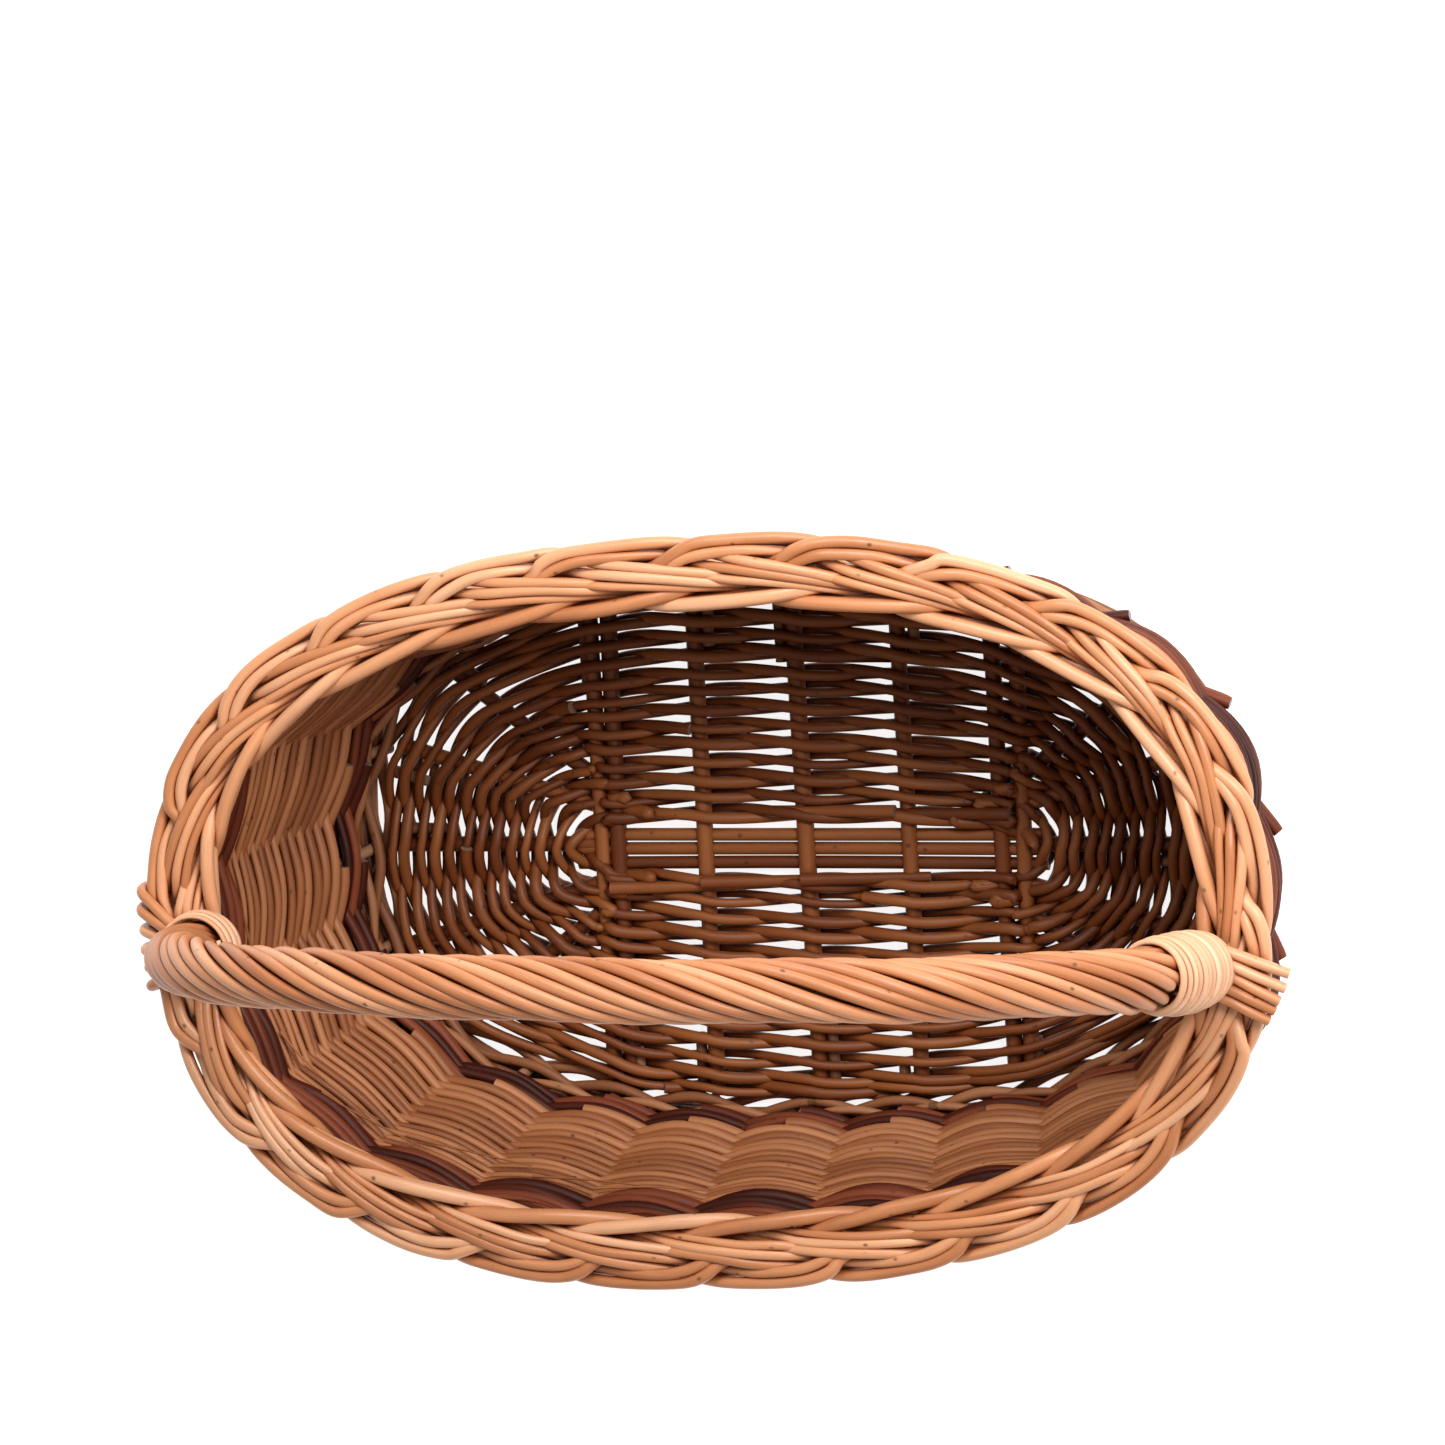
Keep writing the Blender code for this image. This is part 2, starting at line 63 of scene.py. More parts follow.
# The base is a little off the middle and turned, and the wall's foot stands out from its edge
BASE_SHIFT = (0.0034, 0.0048)
BASE_TURN = -0.0498
WALL_OUT_BASE = 0.0064
# Heights above which the wall stands upright, at its ends and along its sides
ENDS_UPRIGHT = 0.1000
SIDES_UPRIGHT = 0.1150

STAKES = 24
STAKE_RADIUS = 0.0025
# Levels of the wall's bands
UPSETT_TOP = corner("wall_lower_dark_band", LOWEST)[2]
LOWER_DARK_TOP = corner("wall_light_band", LOWEST)[2]
LIGHT_TOP = corner("wall_upper_dark_band", LOWEST)[2]
UPPER_DARK_TOP = corner("wall_top_light_rows", LOWEST)[2]
TOP_ROWS_TOP = 0.1262
BORDER_TOP = corner("border_plait", HIGHEST)[2]

BASE_MIDDLE = 0.0080
STICK_RADIUS = 0.0036
LONG_STICK_RADIUS = 0.0028
RIB_RADIUS = 0.0034

# The handle's bow: its feet from the middle, the foot and apex places and the shape of the arch
FOOT_LEFT = 0.2085
FOOT_RIGHT = 0.2060
FOOT_LEFT_Y = -0.0030
FOOT_RIGHT_Y = -0.0280
APEX_Y = 0.0060
FOOT_Z = 0.1440
APEX_Z = 0.3000
BOW_SQUARENESS = 2.1

# ------------------------------------------------------------------ small helpers


def mix(a, b, t):
    return a + (b - a) * t


def smooth(t):
    t = np.clip(t, 0.0, 1.0)
    return t * t * (3.0 - 2.0 * t)


def even_oval(half_length, half_width, squareness, count):
    """Points at equal distances round a superellipse, the first on +X."""
    a = np.linspace(0.0, 2.0 * np.pi, 4801)
    c, s = np.cos(a), np.sin(a)
    x = half_length * np.sign(c) * np.abs(c) ** (2.0 / squareness)
    y = half_width * np.sign(s) * np.abs(s) ** (2.0 / squareness)
    length = np.concatenate(([0.0], np.cumsum(np.hypot(np.diff(x), np.diff(y)))))
    at = np.linspace(0.0, length[-1], count, endpoint=False)
    return np.stack((np.interp(at, length, x), np.interp(at, length, y)), axis=1)


def turned(points, angle, shift):
    """Points in plan, turned about the middle and then shifted."""
    c, s = math.cos(angle), math.sin(angle)
    x = c * points[..., 0] - s * points[..., 1] + shift[0]
    y = s * points[..., 0] + c * points[..., 1] + shift[1]
    return np.stack((x, y), axis=-1)


# Samples of the outlines from stake to stake, and the wall's levels
PER_STAKE = 20
COLUMNS = STAKES * PER_STAKE
LEVELS = np.linspace(0.0, BORDER_TOP, 41)


def level_table():
    """The wall's outline at each level and the way outwards, from the base's plan to the upright top."""
    points = []
    for z in LEVELS:
        t = min(z / ENDS_UPRIGHT, 1.0)
        t_side = min(z / SIDES_UPRIGHT, 1.0)
        half_length = mix(BASE[0] + WALL_OUT_BASE, WALL_TOP[0], t)
        half_width = mix(BASE[1] + WALL_OUT_BASE, WALL_TOP[1], t_side)
        oval = even_oval(half_length, half_width, mix(BASE[2], WALL_TOP[2], t), COLUMNS)
        shift = (BASE_SHIFT[0] * (1 - t), BASE_SHIFT[1] * (1 - t))
        points.append(turned(oval, BASE_TURN * (1 - t), shift))
    points = np.array(points)
    return points, outward(points)


def outward(points):
    """Unit vectors that point out of closed outlines."""
    along = np.roll(points, -1, axis=-2) - np.roll(points, 1, axis=-2)
    along /= np.linalg.norm(along, axis=-1, keepdims=True)
    return np.stack((along[..., 1], -along[..., 0]), axis=-1)


WALL_POINTS, WALL_NORMALS = level_table()
RIM_POINTS = even_oval(*RIM, COLUMNS)
RIM_NORMALS = outward(RIM_POINTS)


def rim(u, depth, z):
    """Point at a depth in from the border's outer edge, u in stakes anticlockwise from +X."""
    u = np.asarray(u, float) * PER_STAKE
    c0 = np.floor(u).astype(int)
    ct = (u - c0)[:, None]
    c0 = c0 % COLUMNS
    c1 = (c0 + 1) % COLUMNS
    point = RIM_POINTS[c0] * (1 - ct) + RIM_POINTS[c1] * ct
    normal = RIM_NORMALS[c0] * (1 - ct) + RIM_NORMALS[c1] * ct
    return np.column_stack((point - normal * np.asarray(depth, float)[:, None], z))


def wall(u, z, out):
    """Point on the wall: u counts stakes anticlockwise from +X, out is the distance outwards."""
    u = np.asarray(u, float) * PER_STAKE
    z = np.broadcast_to(np.asarray(z, float), u.shape)
    row = np.clip(z / BORDER_TOP * (len(LEVELS) - 1), 0, len(LEVELS) - 1.001)
    r0 = row.astype(int)
    rt = (row - r0)[:, None]
    c0 = np.floor(u).astype(int)
    ct = (u - c0)[:, None]
    c0 = c0 % COLUMNS
    c1 = (c0 + 1) % COLUMNS

    def sample(table):
        low = table[r0, c0] * (1 - ct) + table[r0, c1] * ct
        high = table[r0 + 1, c0] * (1 - ct) + table[r0 + 1, c1] * ct
        return low * (1 - rt) + high * rt

    out = np.broadcast_to(np.asarray(out, float), u.shape)[:, None]
    return np.column_stack((sample(WALL_POINTS) + sample(WALL_NORMALS) * out, z))


def catmull(a, b, c, d, f):
    """Catmull-Rom point between b and c, at the share f of the way."""
    return 0.5 * (2 * b + (c - a) * f + (2 * a - 5 * b + 4 * c - d) * f * f + (3 * b - a - 3 * c + d) * f**3)


def spline(points, count):
    """Catmull-Rom curve through points of any width."""
    p = np.asarray(points, float)
    p = np.vstack((2 * p[0] - p[1], p, 2 * p[-1] - p[-2]))
    t = np.linspace(0, len(p) - 3 - 1e-9, count)
    i = t.astype(int)
    f = (t - i)[:, None]
    return catmull(p[i], p[i + 1], p[i + 2], p[i + 3], f)


def arc_length(points):
    return np.concatenate(([0.0], np.cumsum(np.linalg.norm(np.diff(points, axis=0), axis=1))))


# ------------------------------------------------------------------ rods as meshes


# Rings of a rounded tip: how far on they stand and how wide they are, in radii
TIP_REACH = (0.45, 0.8, 1.0)
TIP_WIDTH = (0.86, 0.55, 0.12)
# One unit of a rod's own texture is this long
UV_LENGTH = 0.05


class Rods:
    """Collects swept rods and makes them into one mesh object."""

    def __init__(self, name, material, slot, replaces=()):
        self.name = name
        self.material = material
        self.slot = slot
        self.replaces = replaces
        self.verts = []
        self.tones = []
        self.uvs = []
        self.quads = []
        self.caps = []
        self.total = 0

    def add(self, points, radii, tone=None, sides=8, up=(0, 0, 1), flat=1.0, round_tip=0.0):
        """A rod along points, both ends cut. flat squeezes it along up, round_tip rounds off its last end."""
        points = np.asarray(points, float)
        radii = np.broadcast_to(np.asarray(radii, float), (len(points),)).copy()
        tone = RNG.random() if tone is None else tone
        if round_tip > 0.0:
            direction = points[-1] - points[-2]
            direction /= np.linalg.norm(direction)
            extra = [points[-1] + direction * radii[-1] * round_tip * k for k in TIP_REACH]
            radii = np.concatenate((radii, radii[-1] * np.array(TIP_WIDTH)))
            points = np.vstack((points, extra))
            if np.ndim(up) == 2:
                up = np.vstack((up, np.repeat(up[-1:], len(TIP_REACH), axis=0)))
        tangent = np.gradient(points, axis=0)
        tangent /= np.linalg.norm(tangent, axis=1, keepdims=True) + 1e-12
        ref = np.broadcast_to(np.asarray(up, float), points.shape)
        side = np.cross(tangent, ref)
        side /= np.linalg.norm(side, axis=1, keepdims=True) + 1e-12
        top = np.cross(side, tangent)
        angle = 2 * np.pi * np.arange(sides) / sides
        ring = side[:, None, :] * np.cos(angle)[None, :, None]
        ring = ring + top[:, None, :] * (np.sin(angle)[None, :, None] * flat)
        verts = points[:, None, :] + ring * radii[:, None, None]
        length = arc_length(points)
        share = length / max(length[-1], 1e-9)
        n = len(points)
        base = self.total
        self.verts.append(verts.reshape(-1, 3))
        tone = np.broadcast_to(np.asarray(tone, float), (n,))
        # Red holds the rod's tone, green the way along it, blue its cut ends
        tones = np.zeros((n, sides, 4))
        tones[..., 0] = tone[:, None]
        tones[..., 1] = share[:, None]
        tones[..., 3] = 1.0
        self.tones.append(tones.reshape(-1, 4))
        offset = RNG.random() * 40.0
        u = length / UV_LENGTH + offset
        grid = base + np.arange(n * sides).reshape(n, sides)
        nxt = np.roll(grid, -1, axis=1)
        quads = np.stack((grid[:-1], grid[1:], nxt[1:], nxt[:-1]), axis=-1).reshape(-1, 4)
        self.quads.append(quads)
        v0 = np.arange(sides) / sides
        v1 = v0 + 1.0 / sides
        uv = np.empty((n - 1, sides, 4, 2))
        uv[..., 0, 0] = u[:-1, None]
        uv[..., 1, 0] = u[1:, None]
        uv[..., 2, 0] = u[1:, None]
        uv[..., 3, 0] = u[:-1, None]
        uv[..., 0, 1] = v0
        uv[..., 1, 1] = v0
        uv[..., 2, 1] = v1
        uv[..., 3, 1] = v1
        self.uvs.append(uv.reshape(-1, 2))
        self.total += n * sides
        for end in (0, n - 1):
            self.verts.append(verts[end])
            self.tones.append(np.tile((tone[end], share[end], 1.0, 1.0), (sides, 1)))
            order = list(range(self.total, self.total + sides))
            self.caps.append(order if end == 0 else order[::-1])
            self.total += sides

    def build(self):
        verts = np.concatenate(self.verts)
        tones = np.concatenate(self.tones)
        quads = np.concatenate(self.quads)
        faces = quads.tolist() + self.caps
        mesh = bpy.data.meshes.new(self.name)
        mesh.from_pydata(verts.tolist(), [], faces)
        layer = mesh.uv_layers.new(name="UVMap")
        cap_loops = sum(len(c) for c in self.caps)
        uv = np.concatenate(self.uvs + [np.full((cap_loops, 2), 0.5)])
        layer.data.foreach_set("uv", uv.astype(np.float32).ravel())
        colour = mesh.color_attributes.new("tone", "FLOAT_COLOR", "POINT")
        colour.data.foreach_set("color", tones.astype(np.float32).ravel())
        shade = np.ones(len(faces), dtype=bool)
        shade[len(quads) :] = False
        mesh.polygons.foreach_set("use_smooth", shade)
        mesh.materials.append(self.material)
        mesh.update()
        obj = bpy.data.objects.new(self.name, mesh)
        bpy.context.scene.collection.objects.link(obj)
        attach(obj, "root")
        if self.replaces:
            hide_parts(*self.replaces)


# ------------------------------------------------------------------ materials


def link(tree, a, b):
    tree.links.new(a, b)


def node(tree, kind, **inputs):
    made = tree.nodes.new(kind)
    for key, value in inputs.items():
        made.inputs[key.replace("_", " ")].default_value = value
    return made


def ramp(tree, source, stops):
    made = tree.nodes.new("ShaderNodeValToRGB")
    elements = made.color_ramp.elements
    while len(elements) < len(stops):
        elements.new(0.5)
    for element, (position, colour) in zip(elements, stops):
        element.position = position
        element.color = (*colour, 1.0) if len(colour) == 3 else (colour[0],) * 3 + (1.0,)
    link(tree, source, made.inputs["Fac"])
    return made.outputs["Color"]


def blend_colour(tree, kind, factor, a, b):
    made = tree.nodes.new("ShaderNodeMix")
    made.data_type = "RGBA"
    made.blend_type = kind
    for socket, value in ((made.inputs[0], factor), (made.inputs[6], a), (made.inputs[7], b)):
        if hasattr(value, "links"):
            link(tree, value, socket)
        elif isinstance(value, tuple):
            socket.default_value = (*value, 1.0)
        else:
            socket.default_value = value
    return made.outputs[2]


def maths(tree, kind, a, b=None):
    made = tree.nodes.new("ShaderNodeMath")
    made.operation = kind
    for socket, value in ((made.inputs[0], a), (made.inputs[1], b)):
        if value is None:
            continue
        if hasattr(value, "links"):
            link(tree, value, socket)
        else:
            socket.default_value = value
    return made.outputs[0]


# Painted crease shade against how open a spot is: dark and red where rods touch, untouched in the open
PAINTED_CREASE_SHADE = ((0.10, (0.20, 0.055, 0.014)), (0.38, (0.68, 0.46, 0.31)), (0.70, (1.0, 1.0, 1.0)))
CUT_FACE = (0.62, 0.47, 0.33)
RELIEF = 0.25
RELIEF_HEIGHT = 0.0006


def willow(
    name, deep, middle, pale, roughness, gloss, speck=0.6, cut_face=CUT_FACE, streak=0.35, painted_shade_reach=0.007
):
    """Peeled willow: tone by rod, long grain, soft blotches, knots, small dark nicks, and painted shade in
    the creases.
    """
    material = bpy.data.materials.new(name)
    material.use_nodes = True
    tree = material.node_tree
    shader = tree.nodes["Principled BSDF"]
    tone = tree.nodes.new("ShaderNodeAttribute")
    tone.attribute_name = "tone"
    split = tree.nodes.new("ShaderNodeSeparateColor")
    link(tree, tone.outputs["Color"], split.inputs[0])
    uv = tree.nodes.new("ShaderNodeUVMap")
    uv.uv_map = "UVMap"

    def mapped(along, around):
        made = tree.nodes.new("ShaderNodeMapping")
        made.inputs["Scale"].default_value = (along, around, 1.0)
        link(tree, uv.outputs[0], made.inputs["Vector"])
        return made.outputs[0]

    # Long grain, fine hairs and soft blotches, stretched along the rod
    grain = node(tree, "ShaderNodeTexNoise", Scale=1.0, Detail=5.0, Roughness=0.62)
    link(tree, mapped(1.4, 9.0), grain.inputs["Vector"])
    fine = node(tree, "ShaderNodeTexNoise", Scale=1.0, Detail=4.0, Roughness=0.7)
    link(tree, mapped(5.0, 46.0), fine.inputs["Vector"])
    blotch = node(tree, "ShaderNodeTexNoise", Scale=1.0, Detail=3.0, Roughness=0.55)
    link(tree, mapped(0.9, 1.0), blotch.inputs["Vector"])

    # The rod's own tone, moved up and down by the blotches
    t = maths(tree, "MULTIPLY", split.outputs[0], 0.62)
    t = maths(tree, "ADD", t, maths(tree, "MULTIPLY", blotch.outputs["Fac"], 0.55))
    t = maths(tree, "SUBTRACT", t, 0.08)
    colour = ramp(tree, t, ((0.12, deep), (0.50, middle), (0.88, pale)))
    lines = ramp(tree, grain.outputs["Fac"], ((0.30, (0.62,)), (0.52, (1.0,)), (0.75, (1.12,))))
    colour = blend_colour(tree, "MULTIPLY", streak, colour, lines)
    hairs = ramp(tree, fine.outputs["Fac"], ((0.34, (0.70,)), (0.50, (1.0,)), (0.70, (1.06,))))
    colour = blend_colour(tree, "MULTIPLY", streak * 0.9, colour, hairs)

    # Small dark nicks, in patches
    spots = node(tree, "ShaderNodeTexVoronoi", Scale=1.0, Randomness=1.0)
    link(tree, mapped(5.5, 2.0), spots.inputs["Vector"])
    near = ramp(tree, spots.outputs["Distance"], ((0.050, (1.0,)), (0.15, (0.0,))))
    patches = node(tree, "ShaderNodeTexNoise", Scale=1.0, Detail=2.0)
    link(tree, mapped(1.7, 0.8), patches.inputs["Vector"])
    where = ramp(tree, patches.outputs["Fac"], ((0.45, (0.0,)), (0.53, (1.0,))))
    mask = maths(tree, "MULTIPLY", maths(tree, "MULTIPLY", near, where), speck)
    colour = blend_colour(tree, "MIX", mask, colour, tuple(c * 0.22 for c in deep))

    # Knots, larger and further apart
    knots = node(tree, "ShaderNodeTexVoronoi", Scale=1.0, Randomness=1.0)
    link(tree, mapped(0.45, 1.0), knots.inputs["Vector"])
    knot = ramp(tree, knots.outputs["Distance"], ((0.05, (1.0,)), (0.16, (0.0,))))
    knot = maths(tree, "MULTIPLY", knot, speck * 0.55)
    colour = blend_colour(tree, "MIX", knot, colour, tuple(c * 0.45 for c in deep))

    # Cut ends
    rings = node(tree, "ShaderNodeTexNoise", Scale=900.0, Detail=2.0)
    coords = tree.nodes.new("ShaderNodeTexCoord")
    link(tree, coords.outputs["Object"], rings.inputs["Vector"])
    faces = blend_colour(tree, "MULTIPLY", 0.5, cut_face, rings.outputs["Color"])
    faces = blend_colour(tree, "MULTIPLY", 0.35, faces, middle)
    colour = blend_colour(tree, "MIX", split.outputs[2], colour, faces)

    # Painted shade in the creases between rods, darker where ambient occlusion finds rods close
    crease = node(tree, "ShaderNodeAmbientOcclusion", Distance=painted_shade_reach)
    crease.samples = 4
    colour = blend_colour(tree, "MULTIPLY", 1.0, colour, ramp(tree, crease.outputs["AO"], PAINTED_CREASE_SHADE))
    link(tree, colour, shader.inputs["Base Color"])

    # Gloss and relief
    rough = maths(tree, "ADD", maths(tree, "MULTIPLY", fine.outputs["Fac"], 0.22), roughness - 0.11)
    link(tree, rough, shader.inputs["Roughness"])
    shader.inputs["Specular IOR Level"].default_value = gloss
    height = maths(tree, "ADD", maths(tree, "MULTIPLY", fine.outputs["Fac"], 0.5), grain.outputs["Fac"])
    height = maths(tree, "SUBTRACT", height, maths(tree, "MULTIPLY", mask, 0.8))
    relief = tree.nodes.new("ShaderNodeBump")
    relief.inputs["Strength"].default_value = RELIEF
    relief.inputs["Distance"].default_value = RELIEF_HEIGHT
    link(tree, height, relief.inputs["Height"])
    link(tree, relief.outputs[0], shader.inputs["Normal"])
    return material


# Each willow's deep, middle and pale colour, then its roughness and gloss
LIGHT = willow(
    "willow_light", (0.46, 0.158, 0.052), (0.69, 0.300, 0.132), (0.83, 0.460, 0.262), 0.35, 0.58, speck=0.8
)
# The light band's willow, made darker with painted shade for the basket's shaded inside
WALL = willow(
    "willow_wall", (0.205, 0.062, 0.019), (0.325, 0.113, 0.038), (0.475, 0.198, 0.082), 0.45, 0.36, speck=0.85
)
# The upsett's light brown willow, made darker with painted shade at the foot of the shaded wall
UPSETT = willow("willow_upsett_painted_shade", (0.19, 0.066, 0.024), (0.29, 0.110, 0.043), (0.40, 0.18, 0.08), 0.50, 0.3)
DARK = willow(
    "willow_dark", (0.022, 0.0032, 0.0010), (0.080, 0.0124, 0.0038), (0.24, 0.058, 0.022), 0.48, 0.22,
    speck=0.5, cut_face=(0.55, 0.48, 0.48),
)
# The base's willow, made darker with painted shade: the floor of the weave lies in shadow, lit from behind
BASE_WILLOW_PAINTED_SHADE = willow(
    "willow_base", (0.100, 0.022, 0.0045), (0.182, 0.048, 0.0105), (0.31, 0.104, 0.028), 0.46, 0.30,
    cut_face=(0.46, 0.31, 0.21),
)
STAKE_WILLOW = willow(
    "willow_stake", (0.17, 0.075, 0.035), (0.29, 0.145, 0.080), (0.40, 0.23, 0.14), 0.55, 0.3, speck=0.5
)
HANDLE = willow(
    "willow_handle", (0.40, 0.135, 0.046), (0.60, 0.250, 0.108), (0.76, 0.405, 0.225), 0.38, 0.46, speck=0.8
)
SKEIN = willow(
    "willow_skein", (0.64, 0.31, 0.16), (0.80, 0.44, 0.255), (0.90, 0.60, 0.40), 0.42, 0.38,
    speck=0.25, streak=0.28, painted_shade_reach=0.0022,
)

# ------------------------------------------------------------------ base


def base_place(points):
    """Base-plan points (x, y, z) to the frame."""
    points = np.asarray(points, float)
    return np.column_stack((turned(points[:, :2], BASE_TURN, BASE_SHIFT), points[:, 2]))


# Sticks run this far past a line just inside the base's edge
EDGE_INSET = 0.002
STICK_OVERHANG = 0.004


def floor_reach(x, y, direction):
    """How far it is from a point of the base to just inside its edge."""
    step = np.arange(0.0, 0.25, 0.0005)
    px = (x + direction[0] * step) / (BASE[0] - EDGE_INSET)
    py = (y + direction[1] * step) / (BASE[1] - EDGE_INSET)
    inside = np.abs(px) ** BASE[2] + np.abs(py) ** BASE[2]
    return step[np.argmax(inside >= 1.0)]


MIDDLE_X = 0.0064
CROSS_STICK_AT = (-0.0851, -0.0766, -0.0388, MIDDLE_X, 0.0510, 0.0919, 0.1004)
LONG_STICK_AT = (-0.0079, -0.0020, 0.0039)
LONG_STICK_FROM = -0.0960
LONG_STICK_TO = 0.1110
# Place across and degrees outwards of each end's five ribs
RIB_FANS = ((0.0335, 38.0), (0.0190, 17.0), (0.0, 0.0), (-0.0190, -17.0), (-0.0335, -38.0))
RIB_STARTS = (-0.0938, 0.1091)


def base_stick(name, keys, count, radius):
    rods = Rods(name, BASE_WILLOW_PAINTED_SHADE, "willow_base", (name,))
    rods.add(base_place(spline(keys, count)), radius, sides=14)
    rods.build()


def build_base_sticks():
    for i, x in enumerate(CROSS_STICK_AT):
        reach = floor_reach(x, 0.0, (0.0, 1.0)) + STICK_OVERHANG
        lean = RNG.uniform(-0.0012, 0.0012)
        bow = RNG.uniform(-0.0008, 0.0008)
        keys = [
            (x - lean, -reach, BASE_MIDDLE),
            (x + bow, 0.0, BASE_MIDDLE + 0.0008),
            (x + lean, reach, BASE_MIDDLE),
        ]
        base_stick(f"base_cross_stick_{i + 1}", keys, 40, STICK_RADIUS * RNG.uniform(0.95, 1.06))
    for i, y in enumerate(LONG_STICK_AT):
        keys = [(LONG_STICK_FROM, y * 1.05, 0.0074), (MIDDLE_X, y, 0.0066), (LONG_STICK_TO, y * 1.05, 0.0074)]
        base_stick(f"base_long_stick_{i + 1}", keys, 40, LONG_STICK_RADIUS)
    for x, side, label in ((RIB_STARTS[0], -1.0, "left"), (RIB_STARTS[1], 1.0, "right")):
        for i, (y, degrees) in enumerate(RIB_FANS):
            direction = (side * math.cos(math.radians(degrees)), math.sin(math.radians(degrees)))
            reach = floor_reach(x, y, direction) + STICK_OVERHANG
            start = (x - side * 0.006, y * 0.9, BASE_MIDDLE - 0.001)
            middle = (x + direction[0] * reach * 0.4, y + direction[1] * reach * 0.4, BASE_MIDDLE)
            end = (x + direction[0] * reach, y + direction[1] * reach, BASE_MIDDLE)
            base_stick(f"base_end_rib_{label}_{i + 1}", [start, middle, end], 30, RIB_RADIUS)


# Half length, half width and squareness of the innermost row of weave
FIRST_ROW = (0.1000, 0.0106, 4.5)
ROW_OVERHANG = 0.0004


def row_keys(t):
    """Crossings of one row of base weave: t is 0 at the innermost row and 1 at the floor's edge."""
    half_length = mix(FIRST_ROW[0], BASE[0] + ROW_OVERHANG, t)
    half_width = mix(FIRST_ROW[1], BASE[1] + ROW_OVERHANG, t)
    squareness = mix(FIRST_ROW[2], BASE[2], min(1.0, t * 1.6))
    centre = (MIDDLE_X * (1 - t), 0.0005 * (1 - t))

    def on_row(x, y, dx, dy):
        step = np.arange(0.0, 0.25, 0.0004)
        px = np.abs((x + dx * step - centre[0]) / half_length)
        py = np.abs((y + dy * step - centre[1]) / half_width)
        k = np.argmax(px**squareness + py**squareness >= 1.0)
        return (x + dx * step[k], y + dy * step[k])

    fans = [(y * 0.25, math.radians(d * 0.9)) for y, d in RIB_FANS]
    right = [on_row(MIDDLE_X + 0.062, y, math.cos(d), math.sin(d)) for y, d in fans]
    left = [on_row(MIDDLE_X - 0.060, y, -math.cos(d), math.sin(d)) for y, d in fans]
    # The pair of cross sticks at each end is woven round as one
    sticks = (0.0961, 0.0510, MIDDLE_X, -0.0388, -0.0808)
    top = [on_row(x, 0.0, 0.0, 1.0) for x in sticks]
    bottom = [on_row(x, 0.0, 0.0, -1.0) for x in sticks]
    keys = [right[2], right[1], right[0]] + top + left
    return np.array(keys + bottom[::-1] + [right[4], right[3]])


BASE_ROWS = 12.4
BASE_BUTT_RADIUS = 0.0027
BASE_TIP_RADIUS = 0.0019
STEPS_PER_CROSSING = 14
# Least height of a rod's underside over the floor
CLEAR = 0.0004
# Rods laid in last, on top of the weave: place of the butt and the way that the rod runs
LAID_IN = (
    (-0.0773, -0.0091, 1.0),
    (-0.0361, -0.0085, 1.0),
    (0.0081, -0.0095, 1.0),
    (0.1010, 0.0141, -1.0),
    (0.0519, 0.0177, -1.0),
)
LAID_IN_LENGTH = 0.055


